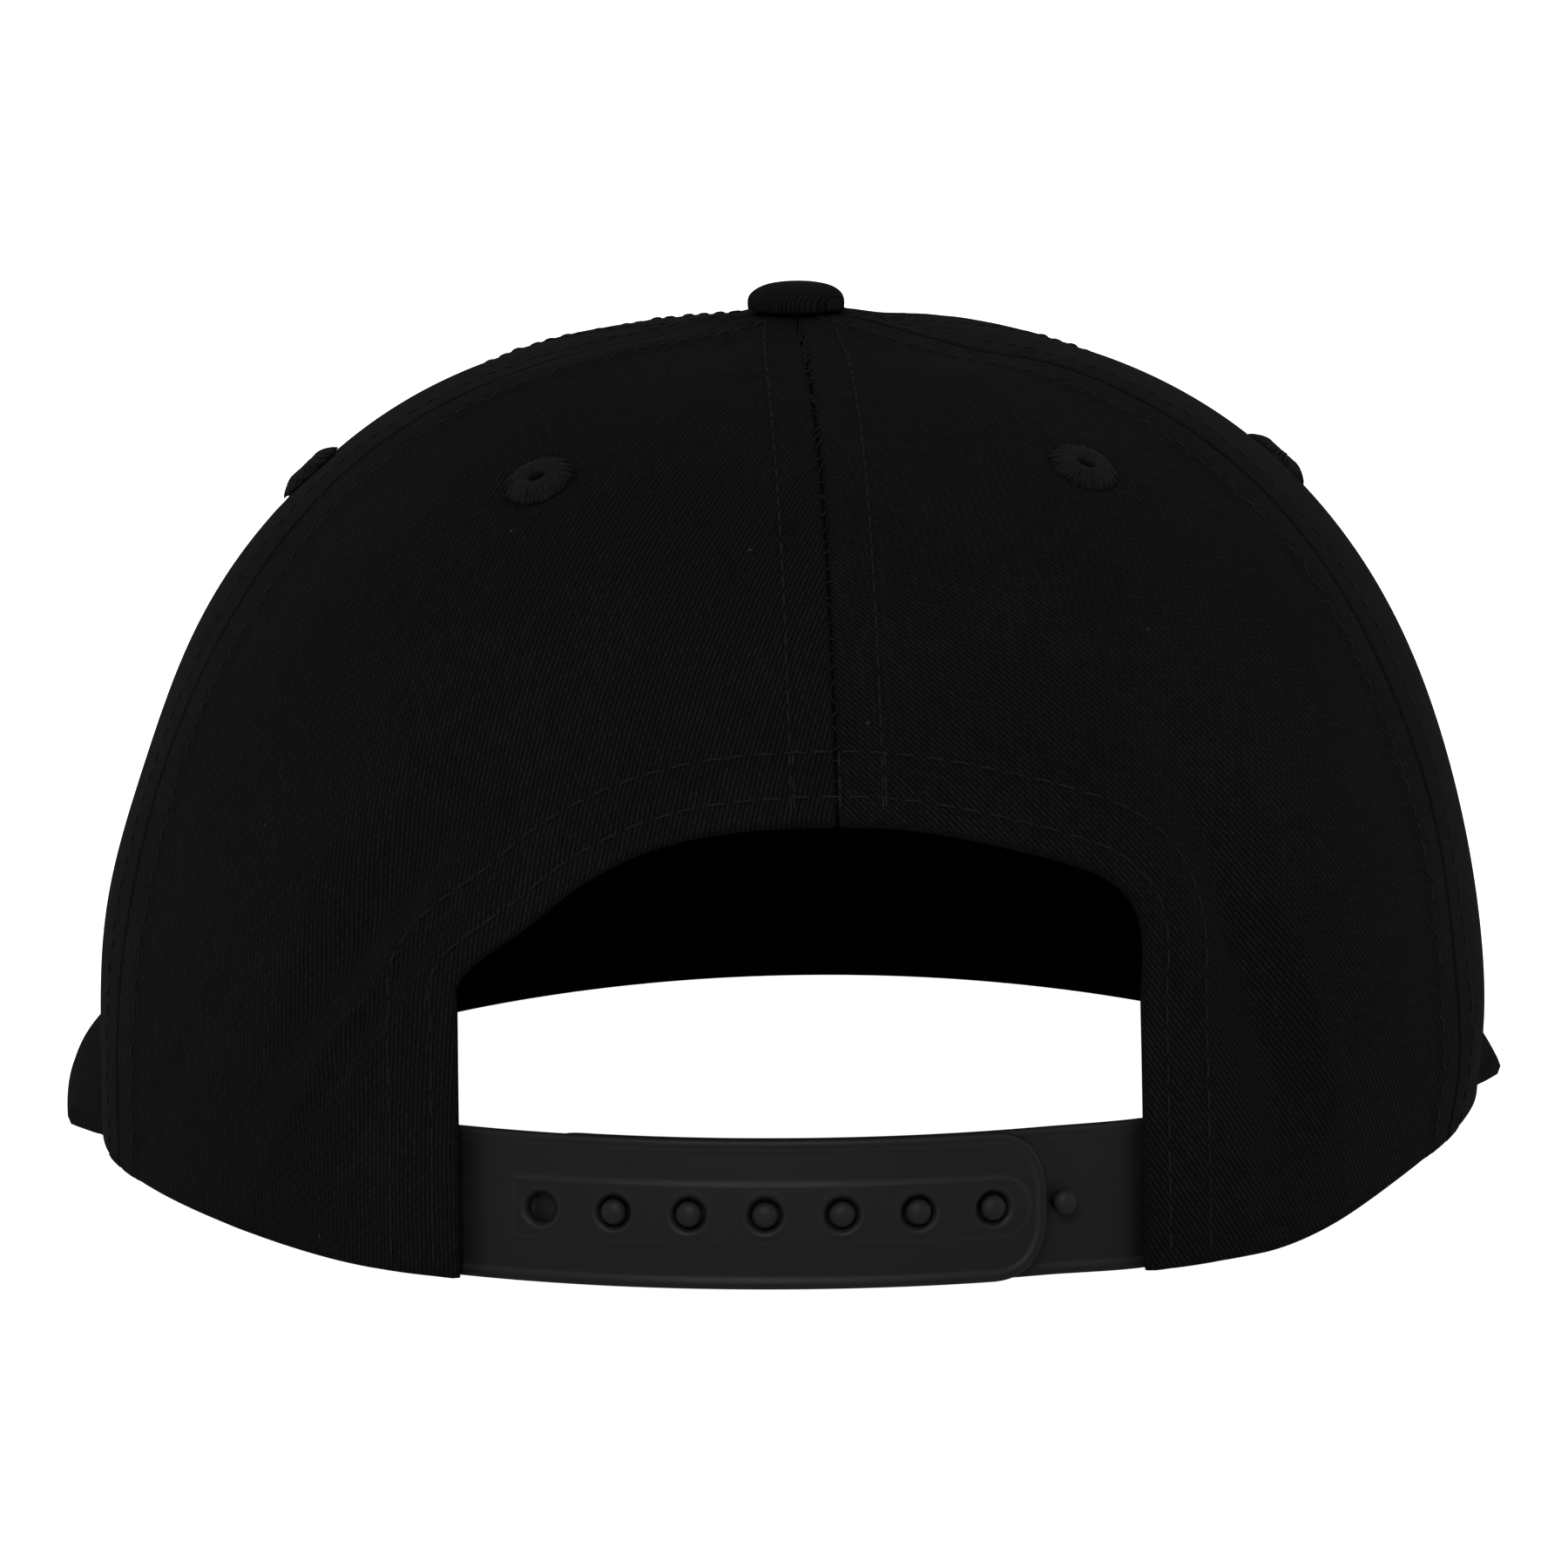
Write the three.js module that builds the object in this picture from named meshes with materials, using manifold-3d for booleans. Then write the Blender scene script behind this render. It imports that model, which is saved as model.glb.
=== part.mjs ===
// Snapback cap: a six-panel crown with an arched opening at the back, embroidered eyelets, a covered
// button, a gently arched visor, a sweatband and a two-part snap strap.
// Millimetres, +Z up. The visor points along -Y and the strap faces +Y. An azimuth is counted in degrees
// from the middle of the back toward +X, the wearer's left.

import * as THREE from "three";
import { mergeVertices } from "three/addons/utils/BufferGeometryUtils.js";
import Module from "manifold-3d";

const wasm = await Module();
wasm.setup();

// Crown, measured outside from the button's axis
const crownHalfWidth = 86.5;
const crownBack = 97;
const crownFront = 103;
const crownHeight = 104.2; // without the low peak under the button
const crownLean = -1.2; // how far the top leans along X
const crownWall = 1.8;
const seamGap = 0.3; // between two neighbouring panels
const clearance = 0.3; // between pieces that are sewn or pressed together
const fullness = { back: 2.3, side: 2.6, front: 2.45 }; // exponents of the crown's profile
const crownTopRadius = 3.4; // hole where the panels meet under the button
const rimRise = { left: 3, right: 6 }; // how far the lower edge lifts beside the ears
const rimRiseStart = 38; // azimuth where the lower edge leaves the ground

// Opening at the back, under the arch
const openingHalfWidth = 41;
const openingCentre = 3.2; // offset of its middle from the back's middle, along X
const openingSpring = 32.8; // height where the straight sides end
const openingTop = 55;

// Visor
const visorHalfWidth = 91;
const visorLength = 70; // past the crown's front
const visorThickness = 3;
const visorArchRadius = 650;
const visorTwist = 3; // how much higher the right side stands than the left
const visorRoot = -27; // where the visor is widest, along Y
const visorRootAzimuth = 96; // where its edge leaves the crown
const visorSquareness = 2.7; // exponent of its plan outline

// Sweatband
const bandHeight = 30;
const bandThickness = 1.2;
const bandGap = 0.8; // from the panels, room for the seam allowances
const bandLift = 1; // above the crown's lower edge at the back
const bandDrop = 2; // how far its front hangs below the visor's lower face

// Snap strap
const strapWidth = 18.4;
const strapThickness = 1.5;
const strapGap = 0.45; // between a strap and the panel over it
const strapLift = 0.1; // above the ground
const strapHidden = 12; // length under the panel at each end
const strapEndLength = 7.5; // rounded end
const holeCount = 7;
const holePitch = 9.3;
const holeRadius = 1.8;
const firstHole = 36.2; // from the back's middle, along the strap
const endMargin = 7; // from the last hole to the outer strap's tip
const underlap = 3.3; // of the inner strap past the middle of the hole that is left empty
const pegHeadRadius = 1.5;
const pegNeckRadius = 1.2;
const pegHeadHeight = 1.1;

// Eyelets and button
const eyeletRadius = 4;
const eyeletHole = 0.9;
const eyeletBarrel = 2.4;
const eyeletRim = 0.6;
const buttonRadius = 6.2;
const buttonHeight = 3.2;
const buttonStemRadius = 2.2;
const buttonStemLength = 3.5;

// Fineness of the facets
const azimuthStep = 5.5;
const crownRows = 14;
const bandRows = 5;
const roundSides = 12;

// The panels, right round from the back seam. A seam and an eyelet are at an azimuth, and the
// eyelet's height is a share of the crown's.
const panels = [
  { name: "back_left", from: -0.6, to: 78, eyelet: 41.2, eyeletHeight: 0.876 },
  { name: "side_left", from: 78, to: 128, eyelet: 99.2, eyeletHeight: 0.82 },
  { name: "front_left", from: 128, to: 180, eyelet: 150, eyeletHeight: 0.84 },
  { name: "front_right", from: 180, to: 234, eyelet: 209, eyeletHeight: 0.84 },
  { name: "side_right", from: 234, to: 291, eyelet: 263, eyeletHeight: 0.82 },
  { name: "back_right", from: 291, to: 359.4, eyelet: 318.9, eyeletHeight: 0.88 },
];

// Folds and dents of the soft crown. Height, length, width and depth are shares of the crown's
// height, turn is the fold's angle from upright toward +X in degrees, and a dent's depth is negative.
// The last two are the tuck behind the right ear and the low peak under the button.
const folds = [
  { azimuth: 42, height: 0.26, length: 0.19, width: 0.045, turn: -36, depth: 0.012 },
  { azimuth: 42, height: 0.38, length: 0.22, width: 0.06, turn: -30, depth: -0.016 },
  { azimuth: -39, height: 0.36, length: 0.24, width: 0.07, turn: 8, depth: -0.013 },
  { azimuth: 90, height: 0.29, length: 0.16, width: 0.2, turn: 0, depth: 0.012 },
  { azimuth: -62, height: 0.985, length: 0.07, width: 0.09, turn: 0, depth: -0.01 },
  { azimuth: -70, height: 0.026, length: 0.1, width: 0.33, turn: 0, depth: -0.026 },
  { azimuth: 0, height: 1, length: 0.06, width: 3, turn: 0, depth: 0.02 },
];

// The arch over the opening, from the left side to the right. across is a share of half the
// opening's width, up a share of the rise from the straight sides to the top.
const arch = [
  { across: 1, up: 0 },
  { across: 1, up: 0.1 },
  { across: 0.94, up: 0.24 },
  { across: 0.79, up: 0.45 },
  { across: 0.65, up: 0.66 },
  { across: 0.5, up: 0.82 },
  { across: 0.35, up: 0.92 },
  { across: 0.17, up: 0.98 },
  { across: -0.06, up: 1 },
  { across: -0.3, up: 0.98 },
  { across: -0.54, up: 0.89 },
  { across: -0.76, up: 0.77 },
  { across: -0.9, up: 0.66 },
  { across: -0.985, up: 0.5 },
  { across: -1.01, up: 0.3 },
  { across: -1, up: 0 },
];

const materials = {
  twill: new THREE.MeshStandardMaterial({ color: 0x17181a, roughness: 0.95, metalness: 0 }),
  stitch: new THREE.MeshStandardMaterial({ color: 0x1c1d20, roughness: 0.9, metalness: 0 }),
  band: new THREE.MeshStandardMaterial({ color: 0x101112, roughness: 0.95, metalness: 0 }),
  plastic: new THREE.MeshStandardMaterial({ color: 0x1e1f21, roughness: 0.5, metalness: 0 }),
};

const radians = THREE.MathUtils.degToRad;
const smoothstep = THREE.MathUtils.smoothstep;

// Crown

// A point of the smooth crown: an upright superellipse profile whose exponent turns from the back
// through the sides to the front.
function plainCrown(azimuth, height) {
  const a = radians(azimuth);
  const s = Math.sin(a);
  const c = Math.cos(a);
  const endFullness = c > 0 ? fullness.back : fullness.front;
  const power = fullness.side * s * s + endFullness * c * c;
  const share = Math.min(Math.max(height / crownHeight, 0), 1);
  const reach = (1 - share ** power) ** (1 / power);
  const depth = c > 0 ? crownBack : crownFront;
  return new THREE.Vector3(crownHalfWidth * s * reach + crownLean * share, depth * c * reach, height);
}

// The outward direction of the smooth crown, from two short steps along it.
function crownNormal(azimuth, height) {
  const step = 0.05;
  const low = Math.min(height, crownHeight * 0.999);
  const here = plainCrown(azimuth, low);
  const up = plainCrown(azimuth, low + step).sub(here);
  const round = plainCrown(azimuth + step, low).sub(here);
  return up.cross(round).normalize();
}

// How far the folds push the cloth outwards at a place on the crown. A distance up the crown is taken
// along a quarter circle of the crown's height, and one round it at the place's own radius.
function foldDepth(azimuth, height) {
  const place = plainCrown(azimuth, height);
  const climb = (share) => Math.asin(Math.min(share, 1));
  let depth = 0;
  for (const fold of folds) {
    const turned = ((azimuth - fold.azimuth + 540) % 360) - 180;
    const across = (radians(turned) * Math.hypot(place.x, place.y)) / crownHeight;
    const up = climb(height / crownHeight) - climb(fold.height);
    const turn = radians(fold.turn);
    const along = up * Math.cos(turn) + across * Math.sin(turn);
    const beside = across * Math.cos(turn) - up * Math.sin(turn);
    depth += fold.depth * Math.exp(-((along / fold.length) ** 2) - (beside / fold.width) ** 2);
  }
  return depth * crownHeight;
}

// A point of the real crown, some way in from its outer face.
function crownPoint(azimuth, height, inset) {
  const out = foldDepth(azimuth, height) - inset;
  return plainCrown(azimuth, height).addScaledVector(crownNormal(azimuth, height), out);
}

// Height of the visor's lower face: an arch across, higher on the right.
function visorFloor(x) {
  const arched = (visorHalfWidth ** 2 - x * x) / (2 * visorArchRadius);
  return arched + (visorTwist * (1 - x / visorHalfWidth)) / 2;
}

// Height of the crown's lower edge: on the ground at the back, lifted beside the ears, and on top of
// the visor at the front.
function rimHeight(azimuth) {
  const s = Math.sin(radians(azimuth));
  const c = Math.cos(radians(azimuth));
  const side = smoothstep(Math.abs(s), Math.sin(radians(rimRiseStart)), 1);
  const lifted = (s > 0 ? rimRise.left : rimRise.right) * side;
  const onVisor = visorFloor((crownHalfWidth - crownWall) * s) + visorThickness + clearance;
  const front = smoothstep(-c, -Math.cos(radians(visorRootAzimuth - 14)), 0.12);
  return lifted + (onVisor - lifted) * front;
}

// Height where the panels end round the hole under the button.
function topHeight(azimuth) {
  const c = Math.cos(radians(azimuth));
  const power = fullness.side * (1 - c * c) + (c > 0 ? fullness.back : fullness.front) * c * c;
  return crownHeight * (1 - (crownTopRadius / crownHalfWidth) ** power) ** (1 / power);
}

// Solids

// A closed wall between two grids of points, with its four edges closed.
function wallGeometry(columns, rows, outer, inner) {
  const points = [];
  for (const side of [outer, inner]) {
    for (let i = 0; i <= columns; i++) {
      for (let j = 0; j <= rows; j++) points.push(...side(i / columns, j / rows).toArray());
    }
  }
  const faces = [];
  const at = (side, i, j) => (side * (columns + 1) + i) * (rows + 1) + j;
  const quad = (a, b, c, d) => faces.push(a, b, c, a, c, d);
  for (let i = 0; i < columns; i++) {
    for (let j = 0; j < rows; j++) {
      quad(at(0, i, j), at(0, i + 1, j), at(0, i + 1, j + 1), at(0, i, j + 1));
      quad(at(1, i, j), at(1, i, j + 1), at(1, i + 1, j + 1), at(1, i + 1, j));
    }
    quad(at(0, i, 0), at(1, i, 0), at(1, i + 1, 0), at(0, i + 1, 0));
    quad(at(0, i, rows), at(0, i + 1, rows), at(1, i + 1, rows), at(1, i, rows));
  }
  for (let j = 0; j < rows; j++) {
    quad(at(0, 0, j), at(0, 0, j + 1), at(1, 0, j + 1), at(1, 0, j));
    quad(at(0, columns, j), at(1, columns, j), at(1, columns, j + 1), at(0, columns, j + 1));
  }
  const geometry = new THREE.BufferGeometry();
  geometry.setAttribute("position", new THREE.Float32BufferAttribute(points, 3));
  geometry.setIndex(faces);
  return geometry;
}

function solidOf(geometry) {
  const bare = new THREE.BufferGeometry();
  bare.setAttribute("position", geometry.getAttribute("position"));
  bare.setIndex(geometry.index);
  const merged = mergeVertices(bare, 1e-4);
  const mesh = new wasm.Mesh({
    numProp: 3,
    vertProperties: merged.getAttribute("position").array,
    triVerts: new Uint32Array(merged.index.array),
  });
  return new wasm.Manifold(mesh);
}

function geometryOf(solid) {
  const mesh = solid.getMesh();
  const geometry = new THREE.BufferGeometry();
  geometry.setAttribute("position", new THREE.BufferAttribute(mesh.vertProperties, 3));
  geometry.setIndex(new THREE.BufferAttribute(mesh.triVerts, 1));
  return geometry;
}

function namedMesh(name, geometry, material) {
  const flat = geometry.toNonIndexed();
  flat.computeVertexNormals();
  const mesh = new THREE.Mesh(flat, material);
  mesh.name = name;
  return mesh;
}

// Turns a shape that stands on the XY plane so that its axis leaves the crown at a place.
function placeOnCrown(object, azimuth, height) {
  object.position.copy(crownPoint(azimuth, height, 0));
  object.quaternion.setFromUnitVectors(new THREE.Vector3(0, 0, 1), crownNormal(azimuth, height));
  return object;
}

// A turned shape about Z, from a profile of radius and height.
function turned(profile, sides) {
  const points = profile.map(([radius, height]) => new THREE.Vector2(radius, height));
  return new THREE.LatheGeometry(points, sides).rotateX(Math.PI / 2);
}

// Pieces

function archCutter() {
  const rise = openingTop - openingSpring;
  const points = arch.map(
    (row) => new THREE.Vector2(openingCentre + row.across * openingHalfWidth, openingSpring + row.up * rise),
  );
  const curve = new THREE.SplineCurve(points);
  const shape = new THREE.Shape(curve.getPoints(2 * (points.length - 1)));
  const below = -crownWall;
  shape.lineTo(openingCentre - openingHalfWidth, below);
  shape.lineTo(openingCentre + openingHalfWidth, below);
  shape.closePath();
  const depth = crownBack;
  const block = new THREE.ExtrudeGeometry(shape, { depth, bevelEnabled: false, steps: 1 });
  return solidOf(block.rotateX(Math.PI / 2).translate(0, crownBack + depth / 2, 0));
}

function eyeletDrill(azimuth, height) {
  const length = 6 * crownWall;
  const radius = eyeletBarrel + clearance;
  const drill = turned([[0, -length / 2], [radius, -length / 2], [radius, length / 2], [0, length / 2]], roundSides);
  const place = placeOnCrown(new THREE.Object3D(), azimuth, height);
  place.updateMatrix();
  return solidOf(drill.applyMatrix4(place.matrix));
}

// One panel between two seams, from the crown's lower edge to the hole under the button.
function crownPanel(panel) {
  const columns = Math.round((panel.to - panel.from) / azimuthStep);
  const face = (inset) => (u, v) => {
    const middle = (panel.from + panel.to) / 2;
    const straight = panel.to + (panel.from - panel.to) * u;
    const rim = rimHeight(straight);
    const height = rim + (topHeight(straight) - rim) * Math.sin((v * Math.PI) / 2);
    const around = plainCrown(straight, height);
    const halfSeam = THREE.MathUtils.radToDeg(seamGap / 2 / Math.hypot(around.x, around.y));
    const squeeze = 1 - (2 * halfSeam) / (panel.to - panel.from);
    return crownPoint(middle + (straight - middle) * squeeze, height, inset);
  };
  let solid = solidOf(wallGeometry(columns, crownRows, face(0), face(crownWall)));
  solid = solid.subtract(eyeletDrill(panel.eyelet, panel.eyeletHeight * crownHeight));
  if (panel.name.startsWith("back")) solid = solid.subtract(archCutter());
  return namedMesh(`crown_panel_${panel.name}`, geometryOf(solid), materials.twill);
}

// An embroidered ring: a barrel through the panel and a raised rim over its outer face.
function eyelet(panel) {
  const seat = clearance;
  const top = seat + eyeletRim;
  const profile = [
    [eyeletHole, -crownWall],
    [eyeletBarrel, -crownWall],
    [eyeletBarrel, seat],
    [eyeletRadius, seat],
    [eyeletRadius - eyeletRim / 3, top - eyeletRim / 3],
    [eyeletBarrel, top],
    [eyeletHole, seat],
    [eyeletHole, -crownWall],
  ];
  const mesh = namedMesh(`eyelet_${panel.name}`, turned(profile, roundSides), materials.stitch);
  return placeOnCrown(mesh, panel.eyelet, panel.eyeletHeight * crownHeight);
}

// A covered dome with a short post through the hole where the panels meet.
function topButton() {
  const stemEnd = -buttonStemLength;
  const profile = [[0, stemEnd], [buttonStemRadius, stemEnd], [buttonStemRadius, 0], [buttonRadius, 0]];
  const steps = 5;
  for (let i = 1; i <= steps; i++) {
    const turn = (i / steps) * (Math.PI / 2);
    profile.push([buttonRadius * Math.cos(turn), buttonHeight * Math.sin(turn) ** 0.8]);
  }
  profile[profile.length - 1][0] = 0;
  const mesh = namedMesh("top_button", turned(profile, roundSides + 4), materials.twill);
  mesh.position.set(crownLean, 0, crownPoint(0, crownHeight, 0).z + clearance);
  return mesh;
}

// A stiff board whose inner edge runs under the front panels and whose outer edge is a superellipse.
function visor() {
  const columns = 40;
  const rows = 4;
  const power = 2 / visorSquareness;
  const innerSpan = 360 - 2 * visorRootAzimuth;
  const reach = crownFront + visorLength + visorRoot;
  const edge = (u) => {
    const turn = u * Math.PI;
    const c = Math.cos(turn);
    const x = visorHalfWidth * Math.sign(c) * Math.abs(c) ** power;
    return new THREE.Vector2(x, visorRoot - reach * Math.sin(turn) ** power);
  };
  const root = (u) => {
    const a = radians(visorRootAzimuth + innerSpan * u);
    return new THREE.Vector2(
      (crownHalfWidth - crownWall) * Math.sin(a),
      (crownFront - crownWall) * Math.cos(a),
    );
  };
  const face = (thickness) => (u, v) => {
    const plan = root(u).lerp(edge(u), v);
    return new THREE.Vector3(plan.x, plan.y, visorFloor(plan.x) + thickness);
  };
  return namedMesh("visor", wallGeometry(columns, rows, face(visorThickness), face(0)), materials.twill);
}

// Azimuth of a place on the strap, counted in millimetres from the back's middle toward +X.
function strapAzimuth(along) {
  return THREE.MathUtils.radToDeg(along / (crownHalfWidth - crownWall));
}

function openingEdge(side) {
  return openingCentre + side * openingHalfWidth;
}

// The hidden end of a strap, counted along it from the back's middle.
function strapRoot(side) {
  const edge = openingEdge(side) / crownHalfWidth;
  return Math.asin(edge) * crownHalfWidth + side * strapHidden;
}

// Height of the sweatband's lower edge: above the crown's edge at the back, below the visor in front.
function bandFoot(azimuth) {
  const front = smoothstep(-Math.cos(radians(azimuth)), 0.1, 0.7);
  const drop = bandLift + clearance + visorThickness + bandDrop;
  return rimHeight(azimuth) + bandLift - drop * front;
}

// The cloth band inside the crown, from one strap end round the front to the other.
function sweatband() {
  const start = strapAzimuth(strapRoot(1)) + 1;
  const end = 360 + strapAzimuth(strapRoot(-1)) - 1;
  const columns = Math.round((end - start) / azimuthStep);
  const face = (inset) => (u, v) => {
    const azimuth = end + (start - end) * u;
    return crownPoint(azimuth, bandFoot(azimuth) + bandHeight * v, crownWall + bandGap + inset);
  };
  return namedMesh("sweatband", wallGeometry(columns, bandRows, face(0), face(bandThickness)), materials.band);
}

// A strap along the crown's lower edge, from its hidden end to a rounded tip.
function strapSolid(root, tip, insetAt) {
  const columns = 26;
  const direction = Math.sign(tip - root);
  const straight = Math.abs(tip - root) - strapEndLength;
  const endShare = 0.3; // of the columns
  const place = (u) => {
    if (u <= 1 - endShare) return { along: (straight * u) / (1 - endShare), half: strapWidth / 2 };
    const turn = ((u - 1 + endShare) / endShare) * radians(80);
    const along = straight + strapEndLength * Math.sin(turn);
    return { along, half: (strapWidth / 2) * Math.cos(turn) };
  };
  const face = (depth) => (u, v) => {
    const { along, half } = place(direction > 0 ? 1 - u : u);
    const azimuth = strapAzimuth(root + direction * along);
    const height = strapLift + strapWidth / 2 + half * (2 * v - 1);
    return crownPoint(azimuth, height, insetAt(azimuth) + depth);
  };
  return solidOf(wallGeometry(columns, 3, face(0), face(strapThickness)));
}

const outerStrapInset = () => crownWall + strapGap;

// The inner strap lies under the outer one and comes forward to the panel beside it.
function innerStrapInset(azimuth) {
  const tip = strapAzimuth(outerTip());
  const edge = strapAzimuth(strapRoot(-1) + strapHidden);
  const under = smoothstep(azimuth, edge, tip);
  return outerStrapInset() + (strapThickness + clearance) * under;
}

function outerTip() {
  return firstHole - (holeCount - 1) * holePitch - endMargin;
}

// A round piece standing on the strap's outer face, with its axis along the crown's normal.
function onStrap(profile, along, inset) {
  const azimuth = strapAzimuth(along);
  const height = strapLift + strapWidth / 2;
  const place = new THREE.Object3D();
  place.position.copy(crownPoint(azimuth, height, inset));
  place.quaternion.setFromUnitVectors(new THREE.Vector3(0, 0, 1), crownNormal(azimuth, height));
  place.updateMatrix();
  return solidOf(turned(profile, roundSides).applyMatrix4(place.matrix));
}

// The strap on the wearer's left, with a row of holes.
function holeStrap() {
  let solid = strapSolid(strapRoot(1), outerTip(), outerStrapInset);
  const reach = 2 * strapThickness;
  const drill = [[0, -reach], [holeRadius, -reach], [holeRadius, reach], [0, reach]];
  for (let i = 0; i < holeCount; i++) {
    solid = solid.subtract(onStrap(drill, firstHole - i * holePitch, outerStrapInset()));
  }
  return namedMesh("snap_strap_holes", geometryOf(solid), materials.plastic);
}

// The strap on the wearer's right, whose domed pegs stand through the other strap's holes.
function pegStrap() {
  const first = firstHole - holePitch;
  let solid = strapSolid(strapRoot(-1), firstHole + underlap, innerStrapInset);
  const rise = strapThickness + clearance;
  for (let i = 0; i < holeCount; i++) {
    const along = first - i * holePitch;
    const inset = innerStrapInset(strapAzimuth(along));
    const profile = [
      [0, -strapThickness / 2],
      [pegNeckRadius, -strapThickness / 2],
      [pegNeckRadius, rise / 2],
      [pegHeadRadius, rise],
      [pegHeadRadius * 0.75, rise + pegHeadHeight * 0.7],
      [0, rise + pegHeadHeight],
    ];
    solid = solid.add(onStrap(profile, along, inset));
  }
  return namedMesh("snap_strap_pegs", geometryOf(solid), materials.plastic);
}

const cap = new THREE.Group();
for (const panel of panels) {
  cap.add(crownPanel(panel));
  cap.add(eyelet(panel));
}
cap.add(topButton(), visor(), sweatband(), holeStrap(), pegStrap());

// The part's origin is on the ground, under the middle of its length.
const extent = new THREE.Box3().setFromObject(cap);
cap.position.set(0, -(extent.min.y + extent.max.y) / 2, -extent.min.z);

const part = new THREE.Group();
part.add(cap);

export default part;
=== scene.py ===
"""Snapback cap around its packed frame: six twill panels with topstitched seams, embroidered eyelets,
a covered button, a visor, a sweatband and a two-part snap strap, on a pale floor in soft light.

Metres, +Z up. The visor points along -Y and the strap faces +Y. An azimuth is in degrees from the
middle of the back toward +X, the wearer's left.
"""

import bpy
import numpy as np
from mathutils import Matrix, Vector


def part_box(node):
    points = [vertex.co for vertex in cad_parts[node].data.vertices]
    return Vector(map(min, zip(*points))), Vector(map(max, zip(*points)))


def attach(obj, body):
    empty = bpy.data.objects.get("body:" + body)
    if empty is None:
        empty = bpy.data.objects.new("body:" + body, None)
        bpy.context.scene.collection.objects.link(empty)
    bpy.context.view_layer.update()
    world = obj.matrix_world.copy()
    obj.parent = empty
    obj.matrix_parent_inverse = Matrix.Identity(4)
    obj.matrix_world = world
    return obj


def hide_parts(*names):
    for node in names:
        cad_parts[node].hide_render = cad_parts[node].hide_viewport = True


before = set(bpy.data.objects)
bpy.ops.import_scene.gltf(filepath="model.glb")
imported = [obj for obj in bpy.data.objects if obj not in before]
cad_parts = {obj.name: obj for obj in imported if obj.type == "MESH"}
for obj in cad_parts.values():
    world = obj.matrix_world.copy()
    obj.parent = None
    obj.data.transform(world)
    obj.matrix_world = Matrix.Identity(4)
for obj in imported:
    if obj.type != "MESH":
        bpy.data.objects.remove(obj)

bl_info = {
    "name": "Snapback Cap",
    "version": (1, 0, 0),
    "blender": (4, 5, 0),
    "location": "View3D > Sidebar > Cap",
    "description": "Builds the cloth, thread and plastic of a six-panel cap with a snap strap",
    "category": "Add Mesh",
}

BODY = "root"
VISOR_LOW, VISOR_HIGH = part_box("visor")

# Panels right round from the back seam. Seams and eyelets are at an azimuth, the eyelet's height is a
# share of the crown's, and grain is the twill's angle from the panel's middle line toward +X.
PANELS = (
    {"name": "back_left", "start": -0.6, "end": 78, "eyelet": 41.2, "height": 0.876, "grain": 2},
    {"name": "side_left", "start": 78, "end": 128, "eyelet": 99.2, "height": 0.82, "grain": 26},
    {"name": "front_left", "start": 128, "end": 180, "eyelet": 150, "height": 0.84, "grain": 32},
    {"name": "front_right", "start": 180, "end": 234, "eyelet": 209, "height": 0.84, "grain": 28},
    {"name": "side_right", "start": 234, "end": 291, "eyelet": 263, "height": 0.82, "grain": 24},
    {"name": "back_right", "start": 291, "end": 359.4, "eyelet": 318.9, "height": 0.88, "grain": 38},
)
SEAMS = tuple(panel["start"] for panel in PANELS)

# Folds and dents. Height, length, width and depth are shares of the crown's height, turn is the
# fold's angle from upright toward +X in degrees, and a dent's depth is negative. The last two are the
# tuck behind the right ear and the low peak under the button.
FOLDS = (
    {"azimuth": 42, "height": 0.26, "length": 0.19, "width": 0.045, "turn": -36, "depth": 0.012},
    {"azimuth": 42, "height": 0.38, "length": 0.22, "width": 0.06, "turn": -30, "depth": -0.016},
    {"azimuth": -39, "height": 0.36, "length": 0.24, "width": 0.07, "turn": 8, "depth": -0.013},
    {"azimuth": 90, "height": 0.29, "length": 0.16, "width": 0.2, "turn": 0, "depth": 0.012},
    {"azimuth": -62, "height": 0.985, "length": 0.07, "width": 0.09, "turn": 0, "depth": -0.01},
    {"azimuth": -70, "height": 0.026, "length": 0.1, "width": 0.33, "turn": 0, "depth": -0.026},
    {"azimuth": 0, "height": 1, "length": 0.06, "width": 3, "turn": 0, "depth": 0.02},
)

# Sharper creases of the cloth alone, in the same terms.
CREASES = (
    {"azimuth": 40.5, "height": 0.29, "length": 0.2, "width": 0.024, "turn": -35, "depth": -0.012},
    {"azimuth": 44.5, "height": 0.25, "length": 0.17, "width": 0.03, "turn": -35, "depth": 0.009},
    {"azimuth": -37, "height": 0.36, "length": 0.2, "width": 0.035, "turn": 10, "depth": -0.0095},
    {"azimuth": -44, "height": 0.3, "length": 0.16, "width": 0.03, "turn": 12, "depth": 0.006},
    {"azimuth": 64, "height": 0.2, "length": 0.1, "width": 0.03, "turn": -50, "depth": -0.005},
)

# The arch over the opening: shares of half the opening's width and of the arch's rise.
ARCH = (
    (1, 0), (1, 0.1), (0.94, 0.24), (0.79, 0.45), (0.65, 0.66), (0.5, 0.82), (0.35, 0.92),
    (0.17, 0.98), (-0.06, 1), (-0.3, 0.98), (-0.54, 0.89), (-0.76, 0.77), (-0.9, 0.66),
    (-0.985, 0.5), (-1.01, 0.3), (-1, 0),
)

# Area lamps: place, width and height in metres, and power in watts.
LIGHTS = (
    {"name": "key_light", "place": (0.45, 2.5, 1.55), "width": 1.1, "tall": 0.9, "power": 38},
    {"name": "left_light", "place": (2.4, 0.5, 0.9), "width": 1.4, "tall": 1.4, "power": 6},
    {"name": "right_light", "place": (-2.4, 0.5, 0.9), "width": 1.4, "tall": 1.4, "power": 9},
    {"name": "top_light", "place": (0, -0.6, 2.6), "width": 2.4, "tall": 2.4, "power": 4},
)


# Sizes and finishes

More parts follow.
